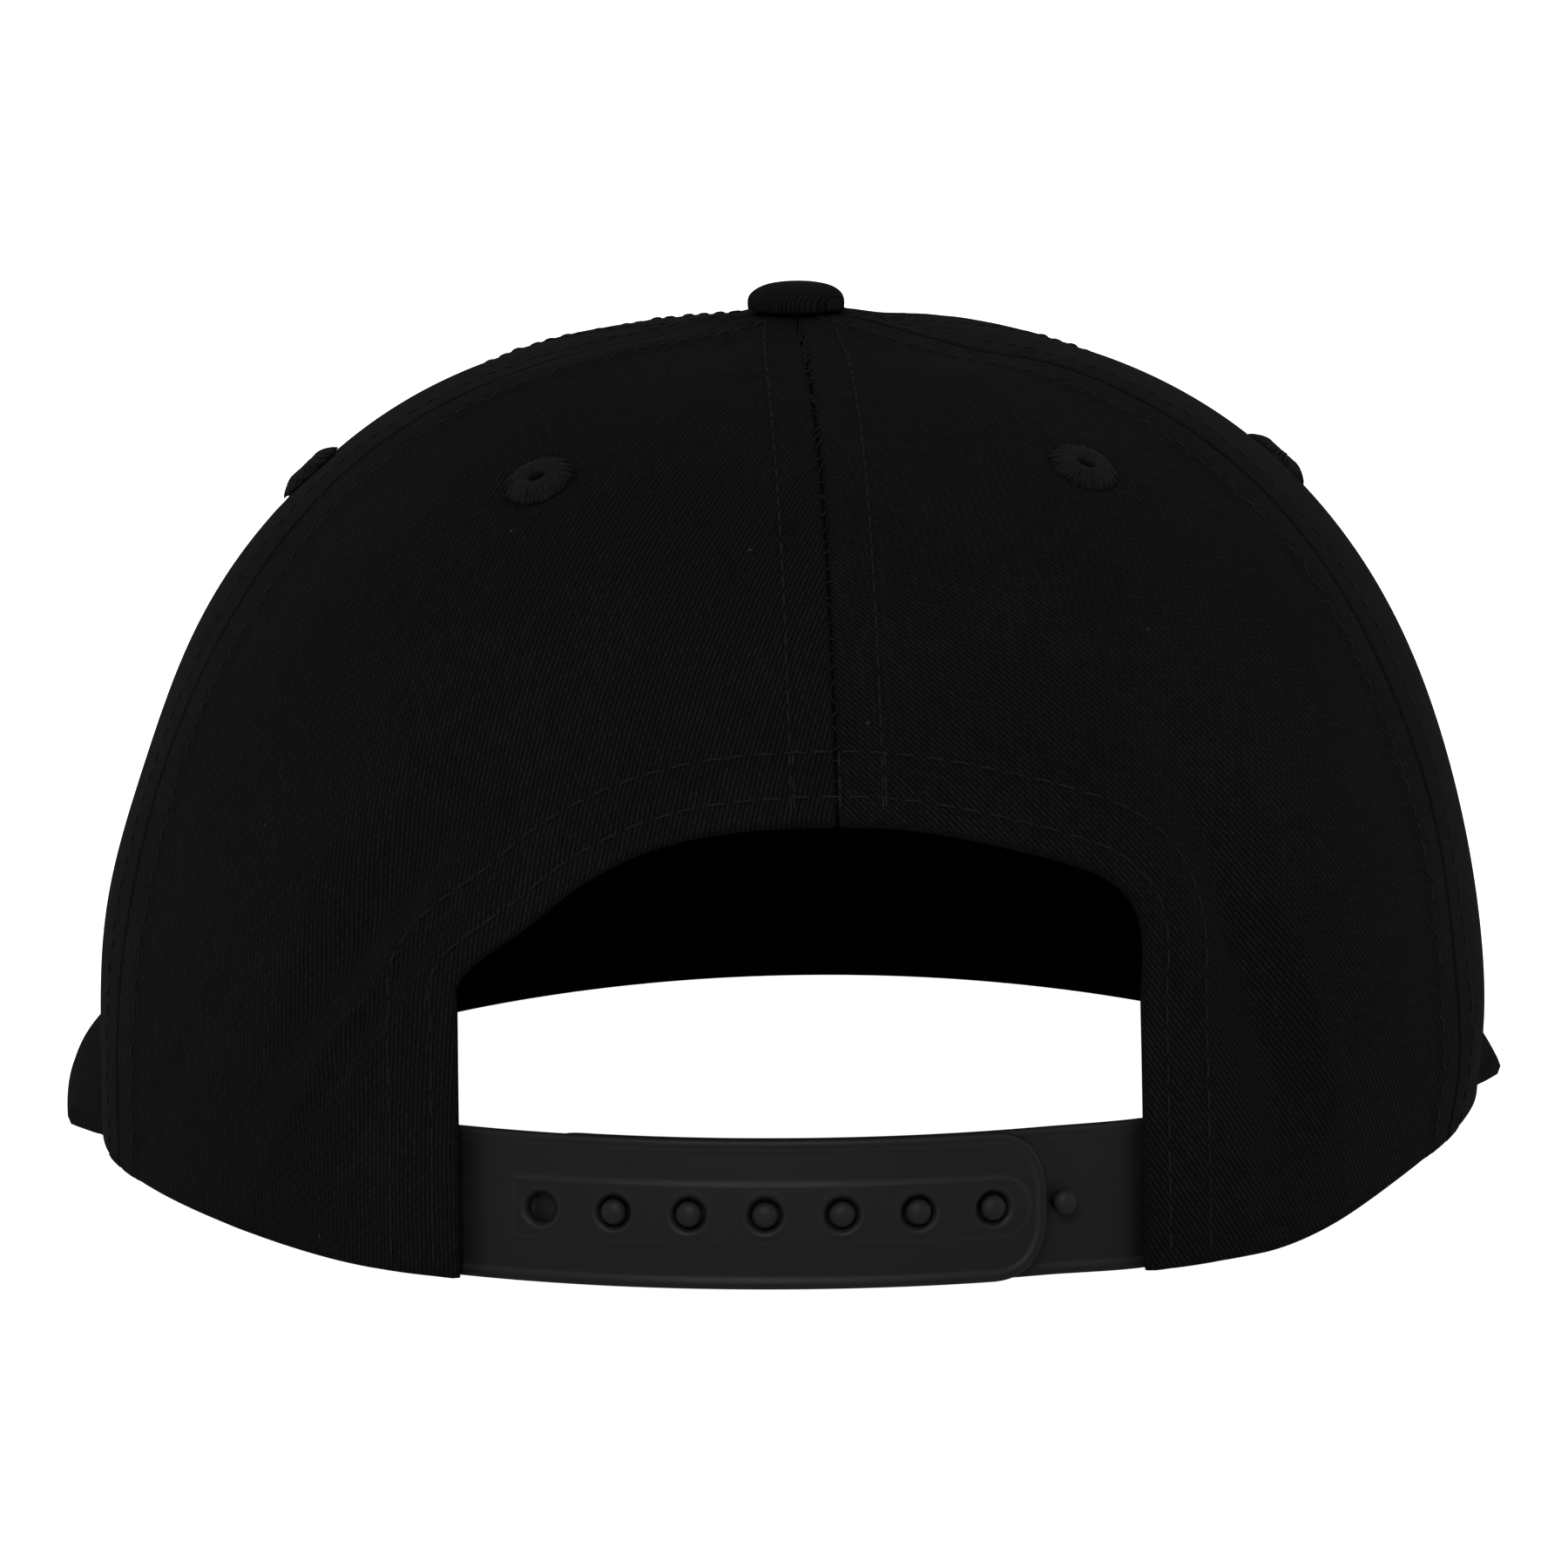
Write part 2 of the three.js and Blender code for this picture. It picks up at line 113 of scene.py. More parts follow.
def length(name, description, default):
    return bpy.props.FloatProperty(
        name=name, description=description, default=default, unit="LENGTH", precision=5
    )


def number(name, description, default):
    return bpy.props.FloatProperty(name=name, description=description, default=default)


def angle(name, description, degrees):
    return bpy.props.FloatProperty(
        name=name, description=description, default=float(np.radians(degrees)), subtype="ANGLE"
    )


def colour(name, description, default):
    return bpy.props.FloatVectorProperty(
        name=name, description=description, default=default, subtype="COLOR", size=3, min=0, max=1
    )


class CapCrown(bpy.types.PropertyGroup):
    """Sizes of the crown, outside, from the button's axis"""

    half_width: length("Half width", "Half the crown's width at its lower edge", 0.0865)
    back: length("Back", "From the button's axis to the back", 0.097)
    front: length("Front", "From the button's axis to the front", 0.103)
    height: length("Height", "From the lower edge to the top, less the low peak there", 0.1042)
    lean: length("Lean", "How far the top leans along X", -0.0012)
    wall: length("Wall", "Thickness of the cloth with its stiffening", 0.0018)
    seam_gap: length("Seam gap", "Between two neighbouring panels", 0.00014)
    edge_round: length("Edge rounding", "How far a cloth edge bulges between its faces", 0.0005)
    clearance: length("Clearance", "Between pieces that are sewn or pressed together", 0.0003)
    fullness_back: number("Back fullness", "Exponent of the profile at the back", 2.3)
    fullness_side: number("Side fullness", "Exponent of the profile at the sides", 2.6)
    fullness_front: number("Front fullness", "Exponent of the profile at the front", 2.45)
    top_radius: length("Top hole", "Radius of the hole under the button", 0.0034)
    rise_left: length("Left rise", "How far the edge lifts beside the left ear", 0.003)
    rise_right: length("Right rise", "How far the edge lifts beside the right ear", 0.006)
    rise_start: angle("Rise start", "Azimuth where the edge leaves the ground", 38)


class CapOpening(bpy.types.PropertyGroup):
    """Sizes of the opening at the back"""

    half_width: length("Half width", "Half the opening's width", 0.041)
    centre: length("Centre", "Offset of its middle from the back's middle", 0.0032)
    spring: length("Spring", "Height where the straight sides end", 0.0328)
    top: length("Top", "Height of the arch", 0.055)


class CapVisor(bpy.types.PropertyGroup):
    """Sizes of the visor"""

    half_width: length("Half width", "Half the visor's width", (VISOR_HIGH.x - VISOR_LOW.x) / 2)
    reach: length("Reach", "From its widest place to its front edge", 0.146)
    past_axis: length("Front", "From the button's axis to the visor's front edge", 0.173)
    thickness: length("Thickness", "Of the covered board", 0.003)
    arch_radius: length("Arch radius", "Of the gentle arch across", 0.65)
    twist: length("Twist", "How much higher the right side stands", 0.003)
    root_azimuth: number("Root", "Azimuth in degrees where its edge leaves the crown", 96)
    squareness: number("Squareness", "Exponent of its plan outline", 2.7)
    rows: bpy.props.IntProperty(name="Rows", description="Rows of stitching", default=6)
    row_pitch: length("Row pitch", "Between two rows of stitching", 0.0065)


class CapBand(bpy.types.PropertyGroup):
    """Sizes of the sweatband"""

    height: length("Height", "Of the band", 0.03)
    thickness: length("Thickness", "Of the band", 0.0012)
    gap: length("Gap", "From the panels", 0.0008)
    lift: length("Lift", "Above the crown's lower edge at the back", 0.001)
    drop: length("Drop", "How far its front hangs below the visor", 0.002)


class CapStrap(bpy.types.PropertyGroup):
    """Sizes of the two straps"""

    width: length("Width", "Of both straps", 0.0184)
    thickness: length("Thickness", "Of both straps", 0.0015)
    gap: length("Gap", "Between a strap and the panel over it", 0.00045)
    lift: length("Lift", "Above the ground", 0.0001)
    hidden: length("Hidden end", "Length under the panel at each end", 0.012)
    end_length: length("Rounded end", "Length of the rounded end", 0.0075)
    holes: bpy.props.IntProperty(name="Holes", description="In the outer strap", default=7)
    pitch: length("Pitch", "Between two holes", 0.0093)
    hole_radius: length("Hole radius", "Of the straight part of a hole", 0.0018)
    sink_radius: length("Countersink", "Radius of a hole's sloping mouth", 0.00235)
    first_hole: length("First hole", "From the back's middle, along the strap", 0.0362)
    end_margin: length("End margin", "From the last hole to the outer strap's tip", 0.007)
    underlap: length("Underlap", "Inner strap past the middle of the empty hole", 0.0033)
    peg_radius: length("Peg radius", "Of a peg's domed head", 0.0015)
    peg_neck: length("Peg neck", "Radius of a peg's neck", 0.0012)
    peg_dome: length("Peg dome", "Height of a peg's dome", 0.0011)
    border: length("Border", "Width of the raised border", 0.0013)
    relief: length("Relief", "Height of the border and the long panel", 0.0003)
    panel_half: length("Panel half height", "Half the height of the raised long panel", 0.0037)
    panel_start: length("Panel start", "Square end of the long panel, along the strap", 0.0397)
    panel_end: length("Panel end", "From the long panel's round end to the tip", 0.0023)


class CapTrim(bpy.types.PropertyGroup):
    """Sizes of the eyelets, the button and the stitching"""

    eyelet_radius: length("Eyelet radius", "Of the embroidered ring", 0.0045)
    eyelet_hole: length("Eyelet hole", "Radius of the hole", 0.0009)
    eyelet_barrel: length("Eyelet barrel", "Radius of the ring inside the cloth", 0.0024)
    eyelet_rim: length("Eyelet rim", "Height of the ring above its seat", 0.0008)
    eyelet_threads: bpy.props.IntProperty(
        name="Eyelet threads", description="Radial threads of one layer", default=54
    )
    button_radius: length("Button radius", "Of the covered dome", 0.0062)
    button_height: length("Button height", "Of the covered dome", 0.0032)
    stem_radius: length("Stem radius", "Of the button's post", 0.0022)
    stem_length: length("Stem length", "Of the button's post", 0.0035)
    pitch: length("Stitch pitch", "From one stitch to the next", 0.0027)
    arch_pitch: length("Arch stitch pitch", "From one stitch to the next over the opening", 0.0034)
    gap: length("Stitch gap", "Between two stitches", 0.0005)
    thread: length("Thread radius", "Of the topstitching", 0.00017)
    seam_row: length("Seam row", "From a seam to its row of stitches", 0.0064)
    arch_row: length("First arch row", "From the arch's edge to the first row", 0.0031)
    arch_second: length("Second arch row", "From the arch's edge to the second row", 0.0081)
    bridge_pitch: length("Bridge pitch", "Between two threads across the back's seam", 0.0023)
    bridge_reach: length("Bridge reach", "Of those threads to each side of the seam", 0.00045)
    bartack: length("Bartack", "Length of the short second rows over the opening", 0.0085)
    fold: length("Folded cloth", "How much the cloth turned under raises the surface", 0.00028)


class CapFinish(bpy.types.PropertyGroup):
    """Colours and weave"""

    # painted shade: the valley colour darkens the cloth between the ribs and at the ends of the floats
    twill_low: colour("Twill valleys", "Between the ribs of the twill", (0.0015, 0.0015, 0.0015))
    twill_high: colour("Twill ribs", "On the ribs of the twill", (0.0074, 0.0074, 0.0074))
    lint: colour("Lint", "Sparse light specks", (0.03, 0.03, 0.031))
    thread: colour("Thread", "Stitches and eyelets", (0.0105, 0.0105, 0.0118))
    band: colour("Band", "Cloth of the sweatband", (0.008, 0.008, 0.0082))
    plastic: colour("Plastic", "Moulded straps", (0.0058, 0.0058, 0.0059))
    # painted highlight and wear: the lighter plastic colour that the strap's edge lines and the pegs are
    # painted toward
    wear_and_highlight: colour("Plastic highlights and wear", "Edges and pegs painted lighter as highlights and wear", (0.016, 0.016, 0.0163))
    rib_pitch: length("Rib pitch", "From one rib of the twill to the next", 0.00067)
    float_length: length("Float", "Length of one float of the twill", 0.0013)


class CapStage(bpy.types.PropertyGroup):
    """Floor, lights and camera"""

    distance: length("Distance", "From the camera to the strap", 2.0)
    lens: number("Lens", "Focal length in millimetres", 384)
    yaw: angle("Yaw", "How far the camera stands toward +X from straight behind", 2.769)
    elevation: angle("Elevation", "Above the horizon", 10.583)
    roll: angle("Roll", "Turn of the picture", -0.6)
    aim_side: length("Aim sideways", "From the strap's middle to the picture's middle", -0.00607)
    aim_up: length("Aim up", "From the strap's middle to the picture's middle", 0.06099)
    floor: colour("Floor", "Pale floor", (0.86, 0.86, 0.86))


GROUPS = {
    "cap_crown": CapCrown,
    "cap_opening": CapOpening,
    "cap_visor": CapVisor,
    "cap_band": CapBand,
    "cap_strap": CapStrap,
    "cap_trim": CapTrim,
    "cap_finish": CapFinish,
    "cap_stage": CapStage,
}


def setting(group):
    return getattr(bpy.context.scene, "cap_" + group)


# Crown surface

def smoothstep(x, low, high):
    t = np.clip((x - low) / (high - low), 0, 1)
    return t * t * (3 - 2 * t)


def unit(vectors):
    return vectors / np.maximum(np.linalg.norm(vectors, axis=-1, keepdims=True), 1e-12)


def turned_from(azimuth, other):
    """Angle in degrees from another azimuth, between -180 and 180."""
    return (azimuth - other + 180) % 360 - 180


def plain_crown(azimuth, height):
    """A superellipse profile whose exponent turns from the back through the sides to the front: the
    reach from the axis is (1 - share^fullness)^(1/fullness), with share the height over the crown's."""
    crown = setting("crown")
    a = np.radians(azimuth)
    s, c = np.sin(a), np.cos(a)
    ends = np.where(c > 0, crown.fullness_back, crown.fullness_front)
    fullness = crown.fullness_side * s * s + ends * c * c
    share = np.clip(height / crown.height, 0, 1)
    reach = (1 - share**fullness) ** (1 / fullness)
    depth = np.where(c > 0, crown.back, crown.front)
    x = crown.half_width * s * reach + crown.lean * share
    return np.stack([x, depth * c * reach, height + 0 * x], axis=-1)


def crown_normal(azimuth, height):
    """Outward direction of the plain crown: the cross product of a short step up and one round."""
    step, climb = 0.05, 0.00005
    low = np.minimum(height, setting("crown").height * 0.999)
    here = plain_crown(azimuth, low)
    up = plain_crown(azimuth, low + climb) - here
    round_it = plain_crown(azimuth + step, low) - here
    return unit(np.cross(up, round_it))


def crown_radius(azimuth, height):
    place = plain_crown(azimuth, height)
    return np.hypot(place[..., 0], place[..., 1])


def bells(folds, azimuth, height):
    """Sum of long bells: each is the depth times e to the minus of the squared shares of the distance
    along and beside the fold, taken on a sphere-like unrolling of the crown."""
    tall = setting("crown").height
    radius = crown_radius(azimuth, height)
    climb = np.arcsin(np.clip(height / tall, 0, 1))
    depth = 0
    for fold in folds:
        across = np.radians(turned_from(azimuth, fold["azimuth"])) * radius / tall
        up = climb - np.arcsin(fold["height"])
        turn = np.radians(fold["turn"])
        along = up * np.cos(turn) + across * np.sin(turn)
        beside = across * np.cos(turn) - up * np.sin(turn)
        bell = np.exp(-((along / fold["length"]) ** 2) - (beside / fold["width"]) ** 2)
        depth = depth + fold["depth"] * bell
    return depth * tall


def crown_point(azimuth, height, inset):
    """The plain crown moved along its normal by the folds less the inset, in the frame's place."""
    out = bells(FOLDS, azimuth, height) - inset
    place = plain_crown(azimuth, height) + crown_normal(azimuth, height) * out[..., None]
    place[..., 1] += VISOR_LOW.y + setting("visor").past_axis
    return place


def visor_floor(x):
    """Lower face of the visor: a parabola across, with one side higher than the other."""
    visor = setting("visor")
    arched = (visor.half_width**2 - x * x) / (2 * visor.arch_radius)
    return arched + visor.twist * (1 - x / visor.half_width) / 2


def rim_height(azimuth):
    """Lower edge of the crown: level at the back, lifted by the ears, on the visor at the front."""
    crown, visor = setting("crown"), setting("visor")
    a = np.radians(azimuth)
    s, c = np.sin(a), np.cos(a)
    rise = np.where(s > 0, crown.rise_left, crown.rise_right)
    lifted = rise * smoothstep(np.abs(s), np.sin(crown.rise_start), 1)
    on_visor = visor_floor((crown.half_width - crown.wall) * s) + visor.thickness + crown.clearance
    leaves = -np.cos(np.radians(visor.root_azimuth - 14))
    return lifted + (on_visor - lifted) * smoothstep(-c, leaves, 0.12)


def top_height(azimuth):
    """Height where the panels end round the hole under the button."""
    crown = setting("crown")
    c = np.cos(np.radians(azimuth))
    ends = np.where(c > 0, crown.fullness_back, crown.fullness_front)
    fullness = crown.fullness_side * (1 - c * c) + ends * c * c
    return crown.height * (1 - (crown.top_radius / crown.half_width) ** fullness) ** (1 / fullness)


# Opening

def arch_outline(steps=8):
    """The opening's outline in X and Z: a Catmull-Rom curve through the arch's points, closed below."""
    opening = setting("opening")
    rise = opening.top - opening.spring
    rows = np.array(ARCH, float) * (opening.half_width, rise) + (opening.centre, opening.spring)
    padded = np.concatenate([rows[:1], rows, rows[-1:]])
    t = np.linspace(0, 1, steps, endpoint=False)[:, None]
    pieces = []
    for p, q, r, s in zip(padded, padded[1:], padded[2:], padded[3:]):
        slope, far_slope = (r - p) / 2, (s - q) / 2
        cubic = (2 * q - 2 * r + slope + far_slope) * t**3
        square = (3 * r - 3 * q - 2 * slope - far_slope) * t**2
        pieces.append(cubic + square + slope * t + q)
    curve = np.concatenate([*pieces, rows[-1:]])
    below = -5 * setting("crown").wall
    left, right = opening.centre + opening.half_width, opening.centre - opening.half_width
    return np.concatenate([[(left, below)], curve, [(right, below)]])


def arch_distance(x, z):
    """Distance from points to the opening's outline, positive on the cloth: the nearest point of each
    straight step of the outline, and a crossing count for the side."""
    outline = arch_outline()
    far = 0.02
    found = np.full(np.shape(x), far)
    near = (np.abs(x) < outline[:, 0].max() + far) & (z < outline[:, 1].max() + far)
    px, pz = x[near][:, None], z[near][:, None]
    start, end = outline, np.roll(outline, -1, axis=0)
    step = end - start
    long = np.maximum((step**2).sum(1), 1e-18)
    t = np.clip(((px - start[:, 0]) * step[:, 0] + (pz - start[:, 1]) * step[:, 1]) / long, 0, 1)
    off = np.hypot(px - start[:, 0] - t * step[:, 0], pz - start[:, 1] - t * step[:, 1]).min(1)
    spans = (start[:, 1] > pz) != (end[:, 1] > pz)
    rise = np.where(step[:, 1] == 0, 1, step[:, 1])
    crossing = start[:, 0] + (pz - start[:, 1]) / rise * step[:, 0]
    inside = (spans & (px < crossing)).sum(1) % 2 == 1
    found[near] = np.where(inside, -off, np.minimum(off, far))
    return found


def azimuth_at(x, z):
    """Azimuth at the back of the crown of a place seen at X and Z, by repeated substitution."""
    crown = setting("crown")
    share = np.clip(z / crown.height, 0, 1)
    s = x / crown.half_width
    for _ in range(8):
        fullness = crown.fullness_side * s * s + crown.fullness_back * (1 - s * s)
        reach = (1 - share**fullness) ** (1 / fullness)
        s = np.clip((x - crown.lean * share) / (crown.half_width * reach), -1, 1)
    return np.degrees(np.arcsin(s))


def back_distance(azimuth, height):
    """Distance from the opening's edge, for places on the back half of the crown."""
    place = plain_crown(azimuth, height)
    distance = arch_distance(place[..., 0], place[..., 2])
    return np.where(place[..., 1] > 0, distance, 1)


def eyelet_distance(azimuth, height, panel):
    """Distance from an eyelet's axis."""
    at = panel["eyelet"], panel["height"] * setting("crown").height
    axis = crown_normal(*at)
    off = plain_crown(azimuth, height) - plain_crown(*at)
    return np.linalg.norm(off - (off @ axis)[..., None] * axis, axis=-1)


# Cloth relief

def seam_row(radius):
    """Distance of a stitch row from its seam: less near the button, where the seams meet."""
    half_way = 0.003
    return setting("trim").seam_row * radius / (radius + half_way)


def stitch_dip(distance, row):
    """A narrow groove where the thread pulls the cloth in."""
    depth, half_width = 0.00013, 0.0006
    return -depth * np.exp(-(((distance - row) / half_width) ** 2))


def seam_relief(azimuth, height, seam, phase):
    """Raised cloth over the seam's turned edges, the grooves of its stitch rows and small puckers."""
    radius = crown_radius(azimuth, height)
    off = np.abs(np.radians(turned_from(azimuth, seam))) * radius
    row = seam_row(radius)
    under, past = 0.0002, 0.002
    raised = setting("trim").fold * (1 - smoothstep(off, row + under, row + past))
    climb = np.arcsin(np.clip(height / setting("crown").height, 0, 1)) * setting("crown").height
    short, long, depth, reach = 0.00075, 0.00118, 0.00004, 0.004
    ripple = np.sin(climb / short + phase) + 0.7 * np.sin(climb / long + 2.3 * phase)
    pucker = depth * ripple * np.exp(-(((off - row) / reach) ** 2))
    return raised + stitch_dip(off, row) + pucker


def arch_relief(azimuth, height):
    """Raised hem along the opening with the grooves of its two stitch rows."""
    trim = setting("trim")
    distance = back_distance(azimuth, height)
    past = 0.0016
    raised = trim.fold * (1 - smoothstep(distance, trim.arch_second, trim.arch_second + past))
    return raised + stitch_dip(distance, trim.arch_row) + stitch_dip(distance, trim.arch_second)


def unevenness(azimuth, height):
    """Slow waves of the worn cloth: a few sines of azimuth and height with seeded phases."""
    draw = np.random.default_rng(7)
    count, depth = 7, 0.00007
    waves = 0
    for _ in range(count):
        round_count, climb_count = draw.integers(3, 15), draw.uniform(2, 9)
        phase = draw.uniform(0, 2 * np.pi)
        share = height / setting("crown").height
        waves = waves + np.sin(np.radians(azimuth) * round_count + share * climb_count * 2 + phase)
    return depth * waves


def cloth_relief(azimuth, height):
    """How far the outer face of the cloth stands out of the plain crown."""
    draw = np.random.default_rng(3)
    seams = 0
    for seam in SEAMS:
        seams = seams + seam_relief(azimuth, height, seam, draw.uniform(0, 2 * np.pi))
    radius = crown_radius(azimuth, height)
    arch = arch_relief(azimuth, height)
    arch_share = np.clip(arch / setting("trim").fold, 0, 1)
    total = seams * (1 - 0.5 * arch_share) + arch + unevenness(azimuth, height)
    total = total + bells(CREASES, azimuth, height)
    sunk, ring_radius, ring_width = 0.00025, 0.0042, 0.0012
    for panel in PANELS:
        off = eyelet_distance(azimuth, height, panel)
        total = total - sunk * np.exp(-(((off - ring_radius) / ring_width) ** 2))
    flat_under, full_from = 0.004, 0.012
    return total * smoothstep(radius, flat_under, full_from)


def cloth_point(azimuth, height, lift=0.0):
    """A point on the outer face of the crown's cloth, or lifted off it."""
    return crown_point(azimuth, height, -(cloth_relief(azimuth, height) + lift))


# Meshes

def new_piece(name, shape, finish):
    """A mesh object at the origin from a shape: points, arrays of faces (one row a face) and flat
    coordinates, whose third column, where there is one, says how much painted highlight and wear lighten
    the surface."""
    points, faces, cloth = shape
    mesh = bpy.data.meshes.new(name)
    corners = np.concatenate([f.ravel() for f in faces]).astype(np.int32)
    sides = np.concatenate([np.full(len(f), f.shape[1]) for f in faces])
    starts = np.concatenate([[0], np.cumsum(sides)[:-1]]).astype(np.int32)
    mesh.vertices.add(len(points))
    mesh.vertices.foreach_set("co", points.astype(np.float32).ravel())
    mesh.loops.add(len(corners))
    mesh.loops.foreach_set("vertex_index", corners)
    mesh.polygons.add(len(starts))
    mesh.polygons.foreach_set("loop_start", starts)
    mesh.polygons.foreach_set("use_smooth", np.ones(len(starts), bool))
    layer = mesh.uv_layers.new(name="cloth")
    layer.data.foreach_set("uv", cloth[corners, :2].astype(np.float32).ravel())
    # the third column holds the share of painted highlight and wear
    if cloth.shape[1] == 3:
        wear_and_highlight = mesh.attributes.new("wear_and_highlight", "FLOAT", "POINT")
        wear_and_highlight.data.foreach_set("value", cloth[:, 2].astype(np.float32))
    mesh.update(calc_edges=True)
    if mesh.validate():
        raise RuntimeError(f"the mesh of {name} has faulty faces")
    mesh.materials.append(finish)
    piece = bpy.data.objects.new(name, mesh)
    bpy.context.scene.collection.objects.link(piece)
    return piece


def placed(piece, slot, *nodes):
    """Puts a piece on the cap's body in place of its nodes. The slot is not used."""
    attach(piece, BODY)
    if nodes:
        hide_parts(*nodes)
    return piece


def together(*shapes):
    """Joins shapes, each (points, faces, flat coordinates), into one."""
    points, faces, cloth, count = [], [], [], 0
    for shape_points, shape_faces, shape_cloth in shapes:
        points.append(shape_points)
        faces += [f + count for f in shape_faces]
        cloth.append(shape_cloth)
        count += len(shape_points)
    return np.concatenate(points), faces, np.concatenate(cloth)


def walled(outer, inner, cloth, rounding, kept=None):
    """A closed wall between two grids of points. Cells that aren't kept are left open, and every open
    edge is closed by a half round: from the middle of the wall, cosine times half the wall plus sine
    times the rounding, outwards in the surface. The flat coordinates run on round that edge."""
    n, m = outer.shape[:2]
    count = n * m
    index = np.arange(count).reshape(n, m)
    if kept is None:
        kept = np.ones((n - 1, m - 1), bool)
    quads = np.stack([index[:-1, :-1], index[1:, :-1], index[1:, 1:], index[:-1, 1:]], -1)[kept]
    across = outer[1:, :-1] - outer[:-1, :-1]
    up = outer[:-1, 1:] - outer[:-1, :-1]
    facing = (np.cross(across, up) * (outer - inner)[:-1, :-1]).sum()
    if facing < 0:
        quads = quads[:, ::-1]
    a, b = quads.ravel(), np.roll(quads, -1, axis=1).ravel()
    open_edge = ~np.isin(a * count + b, b * count + a)
    a, b = a[open_edge], b[open_edge]
    tops, floors = outer.reshape(-1, 3), inner.reshape(-1, 3)
    outwards = unit(np.cross(tops[b] - tops[a], (tops - floors)[a]))
    bulge = np.zeros_like(tops)
    np.add.at(bulge, a, outwards)
    np.add.at(bulge, b, outwards)
    flat = cloth.reshape(count, -1)
    side = flat[b, :2] - flat[a, :2]
    corner = flat[quads[:, :3], :2]
    first, second = corner[:, 1] - corner[:, 0], corner[:, 2] - corner[:, 0]
    hand = np.sign((first[:, 0] * second[:, 1] - first[:, 1] * second[:, 0]).sum())
    aside = hand * unit(np.stack([side[:, 1], -side[:, 0]], -1))
    leave = np.zeros((count, flat.shape[1]))
    np.add.at(leave[:, :2], a, aside)
    np.add.at(leave[:, :2], b, aside)
    leave = unit(leave)
    border = np.unique(a)
    place = np.zeros(count, int)
    place[border] = np.arange(len(border))
    steps = 4
    rows = [index.ravel()[border]]
    middle, half = (tops[border] + floors[border]) / 2, (tops[border] - floors[border]) / 2
    points, faces = [tops, floors], [quads, quads[:, ::-1] + count]
    for k in range(1, steps):
        turn = np.pi * k / steps
        points.append(middle + half * np.cos(turn) + unit(bulge[border]) * rounding * np.sin(turn))
        rows.append(2 * count + (k - 1) * len(border) + np.arange(len(border)))
    rows.append(rows[0] + count)
    for high, low in zip(rows, rows[1:]):
        i, j = place[a], place[b]
        faces.append(np.stack([high[j], high[i], low[i], low[j]], -1))
    arc = np.pi / 2 * np.linalg.norm(half, axis=1, keepdims=True) / steps
    flats = [flat[border] + leave[border] * arc * 2 * min(k, steps - k) for k in range(1, steps)]
    return used_only(np.concatenate(points), faces, np.concatenate([flat, flat, *flats]))


def used_only(points, faces, cloth):
    """Leaves out the points that no face uses."""
    used = np.unique(np.concatenate([f.ravel() for f in faces]))
    place = np.zeros(len(points), int)
    place[used] = np.arange(len(used))
    return points[used], [place[f] for f in faces], cloth[used]


def slid_to_edge(p, q, distance, place):
    """Moves grid places to where the distance is zero: steps down its slope, which is measured along
    the surface, with p and q each scaled by how far the place moves with them."""
    step_p, step_q = 1e-3 * np.ptp(p) + 1e-9, 1e-3 * np.ptp(q) + 1e-9
    for _ in range(5):
        here, at = distance(p, q), place(p, q)
        size_p = np.linalg.norm(place(p + step_p, q) - at, axis=-1) / step_p
        size_q = np.linalg.norm(place(p, q + step_q) - at, axis=-1) / step_q
        slope_p = (distance(p + step_p, q) - here) / step_p / size_p
        slope_q = (distance(p, q + step_q) - here) / step_q / size_q
        scale = here / np.maximum(slope_p**2 + slope_q**2, 0.2)
        p, q = p - scale * slope_p / size_p, q - scale * slope_q / size_q
    return p, q


def cut_grid(p, q, distance, place, cell):
    """Fits a grid to an edge: points near it slide onto it, and cells past it aren't kept."""
    off = distance(p, q)
    off[np.abs(off) < 0.4 * cell] = 0
    corners = np.stack([off[:-1, :-1], off[1:, :-1], off[1:, 1:], off[:-1, 1:]])
    kept = corners.max(0) > 0
    beside = np.zeros(off.shape, bool)
    beside[:-1, :-1] |= kept
    beside[1:, :-1] |= kept
    beside[1:, 1:] |= kept
    beside[:-1, 1:] |= kept
    moved = beside & (off <= 0)
    p, q = p.copy(), q.copy()
    if moved.any():
        p[moved], q[moved] = slid_to_edge(p[moved], q[moved], distance, place)
    return p, q, kept


def turned(profile, sides, swell=0.0):
    """A profile of radius and height turned about Z, with closed poles. The swell, an array of one
    value for each profile point and side, moves a point outwards."""
    profile = np.asarray(profile, float)
    inner = profile[1:-1]
    turn = np.arange(sides) * 2 * np.pi / sides
    radius = inner[:, :1] + swell
    around = radius + 0 * turn
    points = np.stack([around * np.cos(turn), around * np.sin(turn), inner[:, 1:] + 0 * turn], -1)
    index = np.arange(len(inner) * sides).reshape(len(inner), sides)
    after = np.roll(index, -1, axis=1)
    quads = np.stack([index[:-1], after[:-1], after[1:], index[1:]], -1).reshape(-1, 4)
    low, high = len(inner) * sides, len(inner) * sides + 1
    poles = np.array([[0, 0, profile[0, 1]], [0, 0, profile[-1, 1]]])
    start = np.stack([np.full(sides, low), after[0], index[0]], -1)
    end = np.stack([np.full(sides, high), index[-1], after[-1]], -1)
    points = np.concatenate([points.reshape(-1, 3), poles])
    return points, [quads, start, end], points[:, :2].copy()


